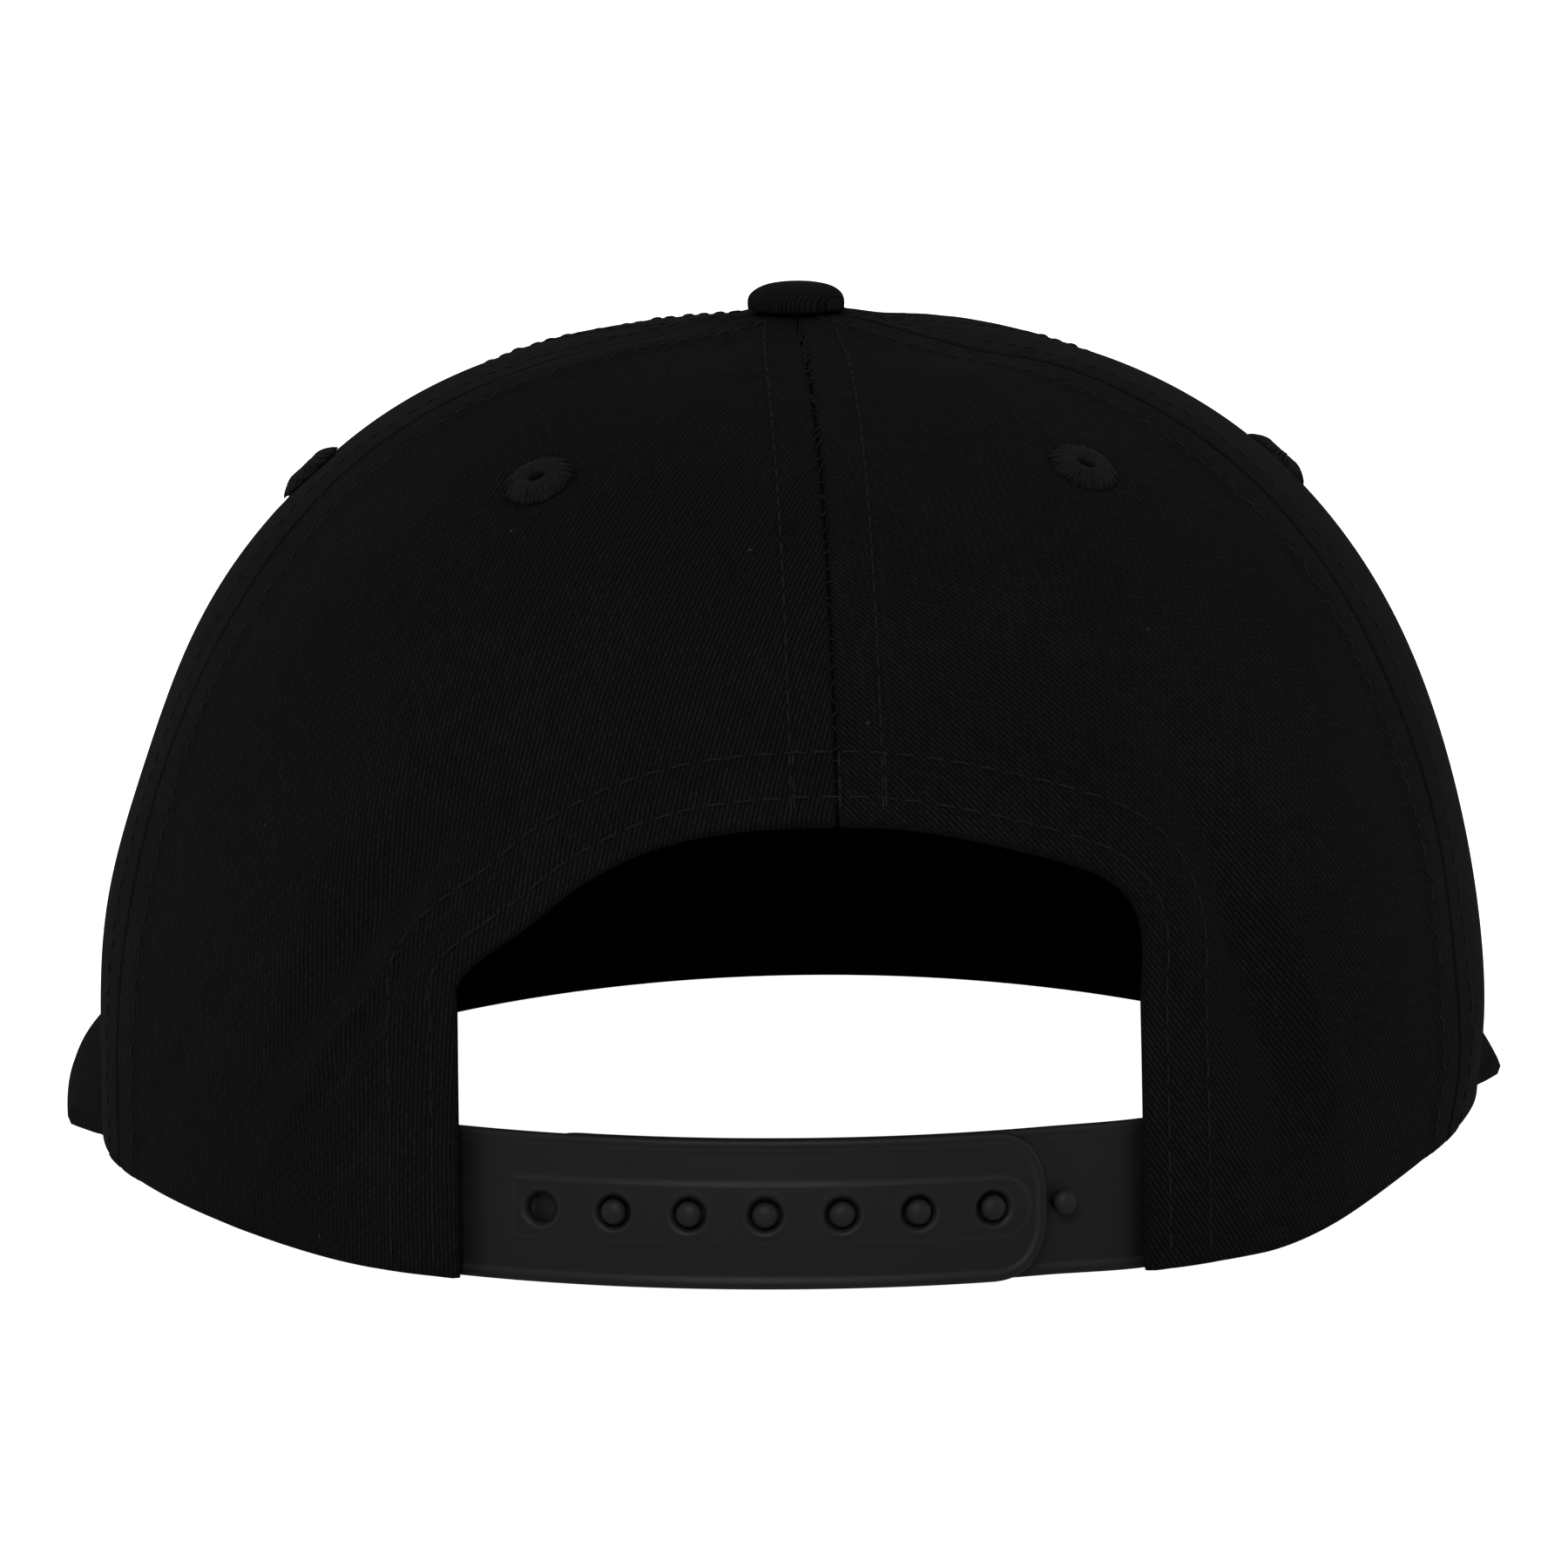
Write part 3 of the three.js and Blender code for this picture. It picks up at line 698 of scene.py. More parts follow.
def ring(profile, sides):
    """A closed profile of radius and height turned about Z."""
    profile = np.asarray(profile, float)
    turn = np.arange(sides) * 2 * np.pi / sides
    radius, rise = profile[:, :1], profile[:, 1:]
    points = np.stack([radius * np.cos(turn), radius * np.sin(turn), rise + 0 * turn], -1)
    index = np.arange(len(profile) * sides).reshape(len(profile), sides)
    after, up = np.roll(index, -1, axis=1), np.roll(index, -1, axis=0)
    quads = np.stack([index, after, np.roll(after, -1, axis=0), up], -1).reshape(-1, 4)
    travel = np.arange(len(profile))[:, None] * 0.0002 + 0 * turn
    cloth = np.stack([turn * 0.003 + 0 * travel, travel], -1)
    return points.reshape(-1, 3), [quads], cloth.reshape(-1, 2)


def on_axis(shape, base, axis):
    """Stands a shape made about Z on a base point, along an axis."""
    points, faces, cloth = shape
    turn = Vector((0, 0, 1)).rotation_difference(Vector(axis)).to_matrix()
    return points @ np.array(turn).T + base, faces, cloth


# Threads

def threads(centre, outward, radius, sides=6):
    """Round closed threads: centre and outward are (thread, ring, 3) and radius (thread, ring)."""
    along = unit(np.gradient(centre, axis=1))
    beside = unit(np.cross(along, outward))
    up = np.cross(beside, along)
    turn = np.arange(sides) * 2 * np.pi / sides
    wheel = np.cos(turn)[:, None] * beside[:, :, None] + np.sin(turn)[:, None] * up[:, :, None]
    points = centre[:, :, None] + radius[:, :, None, None] * wheel
    index = np.arange(points[..., 0].size).reshape(points.shape[:3])
    after = np.roll(index, -1, axis=2)
    quads = np.stack([index[:, :-1], index[:, 1:], after[:, 1:], after[:, :-1]], -1)
    travel = np.cumsum(np.linalg.norm(np.diff(centre, axis=1, prepend=centre[:, :1]), axis=-1), 1)
    cloth = np.stack([travel[:, :, None] + 0 * turn, 0.0003 * turn + 0 * travel[:, :, None]], -1)
    caps = [index[:, 0], index[:, -1, ::-1]]
    return points.reshape(-1, 3), [quads.reshape(-1, 4), *caps], cloth.reshape(-1, 2)


def stitched(path, outward, wanted):
    """A row of stitches along a path, at about the wanted pitch: each dips into the cloth at both ends
    and stands out of it in the middle by most of the thread's radius."""
    trim = setting("trim")
    travel = np.concatenate([[0], np.cumsum(np.linalg.norm(np.diff(path, axis=0), axis=1))])
    count = max(int(travel[-1] / wanted), 1)
    pitch = travel[-1] / count
    t = np.linspace(0, 1, 7)
    draw = np.random.default_rng(count)
    slip = draw.normal(0, 0.05, (count, 1)) * pitch
    at = np.arange(count)[:, None] * pitch + slip + trim.gap / 2 + t * (pitch - trim.gap)
    centre = np.stack([np.interp(at, travel, path[:, k]) for k in range(3)], -1)
    out = unit(np.stack([np.interp(at, travel, outward[:, k]) for k in range(3)], -1))
    bend = np.abs(2 * t - 1)
    lift = trim.thread * (0.75 - 1.9 * bend**3)
    radius = trim.thread * np.sqrt(1 - 0.8 * bend**4)
    return threads(centre + out * lift[:, None], out, np.broadcast_to(radius, at.shape))


# Materials

class Wires:
    """Short ways to add nodes to a tree. A value is a number, a colour or another node's socket."""

    def __init__(self, tree):
        self.tree = tree

    def feed(self, socket, value):
        if isinstance(value, bpy.types.NodeSocket):
            self.tree.links.new(value, socket)
        else:
            socket.default_value = value

    def node(self, kind, inputs=None, **settings):
        made = self.tree.nodes.new(kind)
        for name, value in settings.items():
            setattr(made, name, value)
        for name, value in (inputs or {}).items():
            self.feed(made.inputs[name], value)
        return made

    def math(self, operation, *values):
        made = self.node("ShaderNodeMath", operation=operation)
        for socket, value in zip(made.inputs, values):
            self.feed(socket, value)
        return made.outputs[0]

    def noise(self, vector, scale, detail=2.0, roughness=0.5):
        inputs = {"Vector": vector, "Scale": scale, "Detail": detail, "Roughness": roughness}
        return self.node("ShaderNodeTexNoise", inputs).outputs["Fac"]

    def spread(self, value, low, high, to_low, to_high):
        inputs = {"Value": value, "From Min": low, "From Max": high, "To Min": to_low, "To Max": to_high}
        return self.node("ShaderNodeMapRange", inputs).outputs["Result"]

    def mix(self, factor, low, high):
        made = self.node("ShaderNodeMix", data_type="RGBA")
        self.feed(made.inputs[0], factor)
        self.feed(made.inputs[6], low)
        self.feed(made.inputs[7], high)
        return made.outputs[2]

    def group(self, tree, inputs):
        made = self.node("ShaderNodeGroup")
        made.node_tree = tree
        for name, value in inputs.items():
            self.feed(made.inputs[name], value)
        return made.outputs


def shader_group(name, inputs, outputs):
    """A node group with named inputs and outputs, its wires, its input sockets and its output node."""
    group = bpy.data.node_groups.new(name, "ShaderNodeTree")
    for label, kind, default in inputs:
        socket = group.interface.new_socket(label, in_out="INPUT", socket_type=kind)
        if default is not None:
            socket.default_value = default
    for label, kind in outputs:
        group.interface.new_socket(label, in_out="OUTPUT", socket_type=kind)
    wires = Wires(group)
    entry = wires.node("NodeGroupInput").outputs
    leave = wires.node("NodeGroupOutput").inputs
    return group, wires, entry, leave


def twill_group():
    """Diagonal ribs of staggered floats. A rib's height is a parabola across it, and each float along it
    swells and dips; neighbouring ribs are shifted, and each float has its own random tone. The Shade
    output also follows the height, so the valleys between ribs and the float ends are painted darker as
    shade."""
    group, wires, entry, leave = shader_group(
        "twill_weave",
        [
            ("Cloth", "NodeSocketVector", None),
            ("Rib Pitch", "NodeSocketFloat", 0.0006),
            ("Float Length", "NodeSocketFloat", 0.0013),
            ("Waviness", "NodeSocketFloat", 0.0004),
        ],
        [("Height", "NodeSocketFloat"), ("Shade", "NodeSocketFloat")],
    )
    apart = wires.node("ShaderNodeSeparateXYZ", {0: entry["Cloth"]}).outputs
    drift = wires.math("SUBTRACT", wires.noise(entry["Cloth"], 180.0, 3.0), 0.5)
    across = wires.math("MULTIPLY_ADD", drift, entry["Waviness"], apart["X"])
    rib = wires.math("DIVIDE", across, entry["Rib Pitch"])
    number_of_rib = wires.math("FLOOR", rib)
    off_middle = wires.math("MULTIPLY_ADD", wires.math("FRACT", rib), 2.0, -1.0)
    hump = wires.math("SUBTRACT", 1.0, wires.math("POWER", wires.math("ABSOLUTE", off_middle), 2.2))
    rough_shift = wires.math("MULTIPLY", number_of_rib, 0.382)
    along = wires.math("ADD", wires.math("DIVIDE", apart["Y"], entry["Float Length"]), rough_shift)
    number_of_float = wires.math("FLOOR", along)
    off_end = wires.math("MULTIPLY_ADD", wires.math("FRACT", along), 2.0, -1.0)
    swell = wires.math("SUBTRACT", 1.0, wires.math("POWER", wires.math("ABSOLUTE", off_end), 4.0))
    height = wires.math("MULTIPLY", hump, wires.math("MULTIPLY_ADD", swell, 0.45, 0.55))
    cell = wires.node("ShaderNodeCombineXYZ", {0: number_of_rib, 1: number_of_float}).outputs[0]
    chance = wires.node("ShaderNodeTexWhiteNoise", {"Vector": cell}).outputs["Value"]
    # painted shade: the tone follows the height, darker in the valleys and at the float ends; the white
    # noise gives each float its own random tone
    shade = wires.math("MULTIPLY", height, wires.math("MULTIPLY_ADD", chance, 0.32, 0.7))
    wires.feed(leave["Height"], height)
    wires.feed(leave["Shade"], shade)
    return group


def lint_group():
    """Sparse specks: in some cells of a grid a small round spot."""
    group, wires, entry, leave = shader_group(
        "lint",
        [
            ("Place", "NodeSocketVector", None),
            ("Spacing", "NodeSocketFloat", 0.006),
            ("Size", "NodeSocketFloat", 0.03),
            ("Share", "NodeSocketFloat", 0.3),
        ],
        [("Mask", "NodeSocketFloat")],
    )
    scale = wires.math("DIVIDE", 1.0, entry["Spacing"])
    spots = wires.node("ShaderNodeTexVoronoi", {"Vector": entry["Place"], "Scale": scale})
    chance = wires.node("ShaderNodeSeparateXYZ", {0: spots.outputs["Color"]}).outputs
    size = wires.math("MULTIPLY", entry["Size"], wires.math("ADD", chance["Y"], 0.3))
    near = wires.math("LESS_THAN", spots.outputs["Distance"], size)
    chosen = wires.math("LESS_THAN", chance["X"], entry["Share"])
    wires.feed(leave["Mask"], wires.math("MULTIPLY", near, chosen))
    return group


def shared_group(name, make):
    return bpy.data.node_groups.get(name) or make()


def new_finish(name, constants):
    """A material with a Principled shader whose constant values are set on its own sockets."""
    finish = bpy.data.materials.get(name)
    if finish:
        return finish, None, None
    finish = bpy.data.materials.new(name)
    finish.use_nodes = True
    wires = Wires(finish.node_tree)
    shader = finish.node_tree.nodes["Principled BSDF"]
    for label, value in constants.items():
        shader.inputs[label].default_value = value
    return finish, wires, shader


def full(rgb):
    return (*rgb, 1.0)


def twill_finish():
    """Black cotton twill: ribs and floats along the cloth's own flat coordinates, with painted shade in
    the valleys between the ribs, faded patches and lint, with a faint sheen."""
    constants = {"Specular IOR Level": 0.02, "Sheen Weight": 0.006, "Sheen Roughness": 0.4}
    finish, wires, shader = new_finish("black_twill", constants)
    if wires is None:
        return finish
    look = setting("finish")
    cloth = wires.node("ShaderNodeUVMap", uv_map="cloth").outputs["UV"]
    place = wires.node("ShaderNodeTexCoord").outputs["Object"]
    weave = {"Cloth": cloth, "Rib Pitch": look.rib_pitch, "Float Length": look.float_length}
    twill = wires.group(shared_group("twill_weave", twill_group), weave)
    lint = wires.group(shared_group("lint", lint_group), {"Place": place})
    fade = wires.spread(wires.noise(place, 40.0, 4.0, 0.6), 0.3, 0.7, 0.82, 1.15)
    shade = wires.math("MULTIPLY", twill["Shade"], fade)
    # painted shade: low parts of the weave take the valley colour, rib tops the rib colour
    woven = wires.mix(shade, full(look.twill_low), full(look.twill_high))
    wires.feed(shader.inputs["Base Color"], wires.mix(lint["Mask"], woven, full(look.lint)))
    wires.feed(shader.inputs["Roughness"], wires.spread(twill["Shade"], 0.0, 1.0, 1.0, 0.82))
    fuzz = wires.noise(cloth, 5000.0, 2.0)
    height = wires.math("MULTIPLY_ADD", fuzz, 0.25, twill["Height"])
    bump = {"Height": height, "Distance": 0.00016, "Strength": 1.0}
    wires.feed(shader.inputs["Normal"], wires.node("ShaderNodeBump", bump).outputs["Normal"])
    return finish


def thread_finish():
    """Twisted sewing thread: slanting strands along the thread's own coordinates, with painted shade
    darkening the grooves between the strands.
    """
    constants = {"Specular IOR Level": 0.05}
    finish, wires, shader = new_finish("black_thread", constants)
    if wires is None:
        return finish
    look = setting("finish")
    cloth = wires.node("ShaderNodeUVMap", uv_map="cloth").outputs["UV"]
    place = wires.node("ShaderNodeTexCoord").outputs["Object"]
    apart = wires.node("ShaderNodeSeparateXYZ", {0: cloth}).outputs
    slant = wires.math("ADD", apart["X"], apart["Y"])
    turns = wires.math("MULTIPLY", slant, 16000.0)
    strand = wires.math("MULTIPLY_ADD", wires.math("SINE", turns), 0.5, 0.5)
    wear_and_highlight = wires.spread(wires.noise(place, 900.0, 3.0), 0.3, 0.7, 0.7, 1.25)
    # painted shade: the colour follows the strand's height, darker in the grooves of the twist; the noise
    # is random wear
    shade = wires.math("MULTIPLY", wires.math("MULTIPLY_ADD", strand, 0.5, 0.6), wear_and_highlight)
    wires.feed(shader.inputs["Base Color"], wires.mix(shade, (0.001, 0.001, 0.001, 1), full(look.thread)))
    wires.feed(shader.inputs["Roughness"], wires.spread(strand, 0.0, 1.0, 0.8, 0.6))
    bump = {"Height": strand, "Distance": 0.00004}
    wires.feed(shader.inputs["Normal"], wires.node("ShaderNodeBump", bump).outputs["Normal"])
    return finish


def band_finish():
    """Plain woven tape: over and under threads both ways, with painted shade darkening the low places of
    the weave.
    """
    constants = {"Specular IOR Level": 0.06, "Sheen Weight": 0.015}
    finish, wires, shader = new_finish("woven_tape", constants)
    if wires is None:
        return finish
    look = setting("finish")
    cloth = wires.node("ShaderNodeUVMap", uv_map="cloth").outputs["UV"]
    place = wires.node("ShaderNodeTexCoord").outputs["Object"]
    apart = wires.node("ShaderNodeSeparateXYZ", {0: cloth}).outputs
    warp = wires.math("SINE", wires.math("MULTIPLY", apart["X"], 9000.0))
    weft = wires.math("SINE", wires.math("MULTIPLY", apart["Y"], 9000.0))
    weave = wires.math("MULTIPLY_ADD", wires.math("MULTIPLY", warp, weft), 0.5, 0.5)
    wear_and_highlight = wires.spread(wires.noise(place, 60.0, 4.0), 0.3, 0.7, 0.75, 1.2)
    # painted shade: the colour follows the weave's height, darker where a thread dips under; the noise is
    # random wear
    shade = wires.math("MULTIPLY", wires.math("MULTIPLY_ADD", weave, 0.5, 0.5), wear_and_highlight)
    wires.feed(shader.inputs["Base Color"], wires.mix(shade, (0.0008, 0.0008, 0.0008, 1), full(look.band)))
    wires.feed(shader.inputs["Roughness"], wires.spread(weave, 0.0, 1.0, 1.0, 0.85))
    bump = {"Height": weave, "Distance": 0.00012}
    wires.feed(shader.inputs["Normal"], wires.node("ShaderNodeBump", bump).outputs["Normal"])
    return finish


def plastic_finish():
    """Moulded black plastic: fine grain, a few scuffed patches, dust specks, and edges and pegs painted
    lighter as highlights and wear.
    """
    finish, wires, shader = new_finish("moulded_plastic", {"Specular IOR Level": 0.15})
    if wires is None:
        return finish
    look = setting("finish")
    place = wires.node("ShaderNodeTexCoord").outputs["Object"]
    grain = wires.noise(place, 6000.0, 2.0)
    rubbing_and_highlight = wires.noise(place, 90.0, 5.0, 0.65)
    dust = wires.group(
        shared_group("lint", lint_group),
        {"Place": place, "Spacing": 0.004, "Size": 0.035, "Share": 0.22},
    )
    shade = wires.spread(rubbing_and_highlight, 0.3, 0.7, 0.85, 1.15)
    base = wires.mix(shade, (0.0, 0.0, 0.0, 1), full(look.plastic))
    # painted highlight and wear: the marked edge lines and the pegs are lightened toward the lighter
    # plastic colour
    wear_and_highlight = wires.node("ShaderNodeAttribute", attribute_name="wear_and_highlight").outputs["Fac"]
    base = wires.mix(wires.math("MULTIPLY", wear_and_highlight, 0.55), base, full(look.wear_and_highlight))
    wires.feed(shader.inputs["Base Color"], wires.mix(dust["Mask"], base, full(look.lint)))
    wires.feed(shader.inputs["Roughness"], wires.spread(rubbing_and_highlight, 0.3, 0.7, 0.46, 0.58))
    bump = {"Height": grain, "Distance": 0.00002}
    wires.feed(shader.inputs["Normal"], wires.node("ShaderNodeBump", bump).outputs["Normal"])
    return finish


# Crown pieces

def gore_coordinates(azimuth, height, panel):
    """Flat coordinates of a panel's cloth in metres: the arc from its middle line, and the arc up that
    line, both turned by the grain so that the first runs across the twill's ribs."""
    middle = (panel["start"] + panel["end"]) / 2
    heights = setting("crown").height * np.sin(np.linspace(0, np.pi / 2, 400))
    line = plain_crown(np.full(400, middle), heights)
    arcs = np.concatenate([[0], np.cumsum(np.linalg.norm(np.diff(line, axis=0), axis=1))])
    across = np.radians(azimuth - middle) * crown_radius(azimuth, height)
    up = np.interp(height, heights, arcs)
    grain = np.radians(panel["grain"])
    flat = across * np.cos(grain) - up * np.sin(grain), across * np.sin(grain) + up * np.cos(grain)
    return np.stack(flat, -1)


def panel_grid(panel):
    """Azimuth and height over a panel. Columns crowd toward both seams, rows follow a sine so that
    they keep about one distance, and the sides stop half a gap and the edge's rounding from the seam."""
    crown = setting("crown")
    span, middle = panel["end"] - panel["start"], (panel["start"] + panel["end"]) / 2
    columns, rows = round(span * 2), 140
    u = np.linspace(0, 1, columns + 1)
    u = u - 0.4 * np.sin(2 * np.pi * u) / (2 * np.pi)
    u, v = np.meshgrid(u, np.linspace(0, 1, rows + 1), indexing="ij")
    azimuth = panel["start"] + span * u
    rim = rim_height(azimuth) + crown.edge_round
    height = rim + (top_height(azimuth) - rim) * np.sin(v * np.pi / 2)
    off = crown.seam_gap / 2 + crown.edge_round
    half_seam = np.degrees(off / crown_radius(azimuth, height))
    return middle + (azimuth - middle) * (1 - 2 * half_seam / span), height


def crown_panel(panel):
    """One panel of twill, cut for the opening and its eyelet."""
    crown, trim = setting("crown"), setting("trim")
    azimuth, height = panel_grid(panel)

    def distance(a, h):
        off = eyelet_distance(a, h, panel) - trim.eyelet_barrel - crown.clearance
        if panel["name"].startswith("back"):
            off = np.minimum(off, back_distance(a, h))
        return off - crown.edge_round

    cell = 0.0007
    azimuth, height, kept = cut_grid(azimuth, height, distance, plain_crown, cell)
    cloth = gore_coordinates(azimuth, height, panel)
    outer = cloth_point(azimuth, height)
    across = crown_normal(azimuth, height)[..., 0] * crown.wall / crown.half_width
    square_within = 0.004
    by_edge = 1 - smoothstep(back_distance(azimuth, height), 0, square_within)
    inner = crown_point(azimuth + np.degrees(across) * by_edge, height, crown.wall)
    name = f"{panel['name']}_panel"
    piece = new_piece(name, walled(outer, inner, cloth, crown.edge_round, kept), twill_finish())
    placed(piece, "twill", f"crown_panel_{panel['name']}")
    shown = cloth[np.pad(kept, ((0, 1), (0, 1)))]


def seam_heights(seam, count):
    """Heights at about one distance up a seam, from just over its lower end to the button."""
    from_edge = 0.0012
    low = rim_height(seam) + from_edge
    return low + (top_height(seam) - low) * np.sin(np.linspace(0, np.pi / 2, count))


def seam_paths():
    """Rows of places on both sides of each seam, from its lower end to the button."""
    trim = setting("trim")
    from_arch, under_button = 0.0012, 0.0005
    rows = []
    for seam in SEAMS:
        height = seam_heights(seam, 700)
        radius = crown_radius(seam, height)
        for side in (-1, 1):
            azimuth = seam + side * np.degrees(seam_row(radius) / radius)
            open_cloth = back_distance(azimuth, height) > from_arch
            shown = open_cloth & (radius > trim.button_radius - under_button)
            rows.append((azimuth[shown], height[shown]))
    return rows


def bridging_threads():
    """Short threads across the back's seam."""
    trim, crown = setting("trim"), setting("crown")
    seam = SEAMS[0]
    height = seam_heights(seam, int(np.pi / 2 * crown.height / trim.bridge_pitch))
    clear = crown_radius(seam, height) > trim.button_radius
    height = height[clear & (back_distance(seam + 0 * height, height) > trim.bridge_pitch / 2)]
    side = np.linspace(-1, 1, 7)
    uneven, thinner = 0.0003, 0.6
    wobble = np.random.default_rng(5).normal(0, uneven, (len(height), 2))
    height = height[:, None] + wobble[:, :1] + wobble[:, 1:] * side
    azimuth = seam + np.degrees(side * trim.bridge_reach / crown_radius(seam, height))
    thick = thinner * trim.thread
    centre = cloth_point(azimuth, height, thick * (0.8 - 2 * side**6))
    return threads(centre, crown_normal(azimuth, height), np.full(azimuth.shape, thick))


def bartack_paths():
    """Short second rows over the opening, beside the seam and beside both of its stitch rows."""
    trim, opening = setting("trim"), setting("opening")
    from_edge, beside = 0.0012, 0.0004
    height = np.linspace(opening.top + from_edge, opening.top + trim.bartack, 60)
    radius = crown_radius(SEAMS[0], height)
    offs = [row * seam_row(radius) - beside for row in (-1, 0, 1)]
    return [(SEAMS[0] + np.degrees(off / radius), height) for off in offs]


def arch_paths():
    """The two rows of places that follow the opening's edge at their distances from it."""
    trim = setting("trim")
    lowest = 0.0015
    rows = []
    for off in (trim.arch_row, trim.arch_second):
        outline = arch_outline(12)
        tangent = unit(np.gradient(outline, axis=0))
        out = np.stack([tangent[:, 1], -tangent[:, 0]], -1)
        line = outline + out * off
        line = line[line[:, 1] > lowest]
        line = np.concatenate([[(line[0, 0], lowest)], line, [(line[-1, 0], lowest)]])
        travel = np.concatenate([[0], np.cumsum(np.linalg.norm(np.diff(line, axis=0), axis=1))])
        at = np.linspace(0, travel[-1], 900)
        x, z = (np.interp(at, travel, line[:, k]) for k in range(2))
        rows.append((azimuth_at(x, z), z))
    return rows


def crown_stitching():
    """All rows of topstitching on the crown as one mesh."""
    trim = setting("trim")
    rows = [bridging_threads()]
    for pitch, paths in (trim.pitch, seam_paths() + bartack_paths()), (trim.arch_pitch, arch_paths()):
        for azimuth, height in paths:
            rows.append(stitched(cloth_point(azimuth, height), crown_normal(azimuth, height), pitch))
    piece = new_piece("crown_topstitching", together(*rows), thread_finish())
    placed(piece, "embroidery")


def eyelet_profile(t, rim, end):
    """Radius and height over an eyelet's rim, from its hole to its outer end: the height is a sine
    whose crest lies nearer to the hole."""
    hole, lean, bluntness, sink = setting("trim").eyelet_hole, 0.62, 0.75, 0.0001
    return hole + (end - hole) * t, rim * np.sin(np.pi * t**lean) ** bluntness - sink * t


def eyelet_threads(rim, draw):
    """Two layers of radial threads over the rim, with uneven ends and a slight drift."""
    trim = setting("trim")
    count, thick = trim.eyelet_threads, 0.00017
    t = np.linspace(0, 1, 12)
    layers = []
    for layer in range(2):
        step = np.arange(count) + layer / 2 + draw.normal(0, 0.15, count)
        turn = (step * 2 * np.pi / count)[:, None] + draw.normal(0, 0.05, (count, 1)) * t
        end = trim.eyelet_radius * (1 + draw.normal(-0.01, 0.035, (count, 1)))
        radius, rise = eyelet_profile(t, rim + 0.00006 * layer + draw.normal(0, 0.00004, (count, 1)), end)
        slope = unit(np.stack([np.gradient(radius, axis=1), np.gradient(rise, axis=1)], -1))
        centre = np.stack([radius * np.cos(turn), radius * np.sin(turn), rise], -1)
        out = np.stack([-slope[..., 1] * np.cos(turn), -slope[..., 1] * np.sin(turn), slope[..., 0]], -1)
        layers.append(threads(centre, out, thick * (1 - 0.5 * t**6) + 0 * radius))
    return layers


def eyelet(panel, seed):
    """A closed core round a small hole, covered by radial threads."""
    trim, crown = setting("trim"), setting("crown")
    rim = crown.clearance + trim.eyelet_rim
    sunk, drawn_in, core_drop, core_share = 0.0003, 0.0002, 0.0001, 0.95
    low, reach = -crown.wall - sunk, trim.eyelet_radius * core_share
    over = np.stack(eyelet_profile(np.linspace(0, 1, 16), rim - core_drop, reach), -1)
    under = [(reach - drawn_in, -sunk), (trim.eyelet_barrel, -sunk), (trim.eyelet_barrel, low)]
    profile = np.concatenate([over, under, [(trim.eyelet_hole, low)]])[::-1]
    shape = together(ring(profile, 64), *eyelet_threads(rim, np.random.default_rng(seed)))
    at = np.array([panel["eyelet"]], float), np.array([panel["height"] * crown.height])
    base, axis = crown_point(*at, 0)[0], crown_normal(*at)[0]
    piece = new_piece(f"{panel['name']}_eyelet", on_axis(shape, base, axis), thread_finish())
    placed(piece, "embroidery", f"eyelet_{panel['name']}")


def top_button():
    """A covered dome, a superellipse turned about the axis, with faint gathers and a post."""
    trim, crown = setting("trim"), setting("crown")
    fullness, foot_share, steps, sides = 2.7, 0.9, 26, 96
    gathers, gather_depth, tightness, grain = 11, 0.00005, 1.4, np.radians(38)
    power = 2 / fullness
    turn = np.linspace(0, np.pi / 2, steps)[:-1]
    radius, tall = trim.button_radius, trim.button_height
    belly = radius * (0.965 + 0.035 * np.sin(np.minimum(turn * 3, np.pi / 2)))
    dome = np.stack([belly * np.cos(turn) ** power, tall * np.sin(turn) ** power], -1)
    end = -trim.stem_length
    foot = [(0, end), (trim.stem_radius, end), (trim.stem_radius, 0.0), (radius * foot_share, 0.0)]
    profile = np.concatenate([foot, dome, [(0, tall)]])
    around = np.arange(sides) * 2 * np.pi / sides
    share = np.concatenate([np.zeros(3), np.cos(turn)])[:, None]
    gather = share * np.cos(gathers * around) * gather_depth
    points, faces, cloth = turned(profile, sides, gather)
    slant = np.array([(np.cos(grain), np.sin(grain)), (-np.sin(grain), np.cos(grain))])
    seat = crown_point(np.zeros(1), np.full(1, crown.height), 0)[0, 2] + crown.clearance
    points = points + (crown.lean, VISOR_LOW.y + setting("visor").past_axis, seat)
    piece = new_piece("covered_button", (points, faces, tightness * cloth @ slant), twill_finish())
    placed(piece, "twill", "top_button")


# Visor

def visor_edge(turn, inset):
    """Plan outline: a superellipse about the widest place, drawn in by the inset."""
    visor = setting("visor")
    power = 2 / visor.squareness
    c, s = np.cos(turn), np.sin(turn)
    x = (visor.half_width - inset) * np.sign(c) * np.abs(c) ** power
    return np.stack([x, visor.reach - visor.past_axis - (visor.reach - inset) * np.abs(s) ** power], -1)


def visor_depth(x, y):
    """Distance in from the visor's edge: the inset whose outline passes through the place, found by
    bisection."""
    visor = setting("visor")
    out = visor.reach - visor.past_axis - y
    low, high = np.full(x.shape, -0.005), np.full(x.shape, 0.085)
    for _ in range(26):
        middle = (low + high) / 2
        level = (np.abs(x) / (visor.half_width - middle)) ** visor.squareness
        level = level + (np.maximum(out, 0) / (visor.reach - middle)) ** visor.squareness
        low, high = np.where(level > 1, low, middle), np.where(level > 1, middle, high)
    return (low + high) / 2


def visor_rows():
    visor = setting("visor")
    first = 0.0045
    return [first + k * visor.row_pitch for k in range(visor.rows)]


def visor_relief(x, y):
    """Grooves of the stitch rows."""
    depth = visor_depth(x, y)
    return sum(stitch_dip(depth, row) for row in visor_rows())


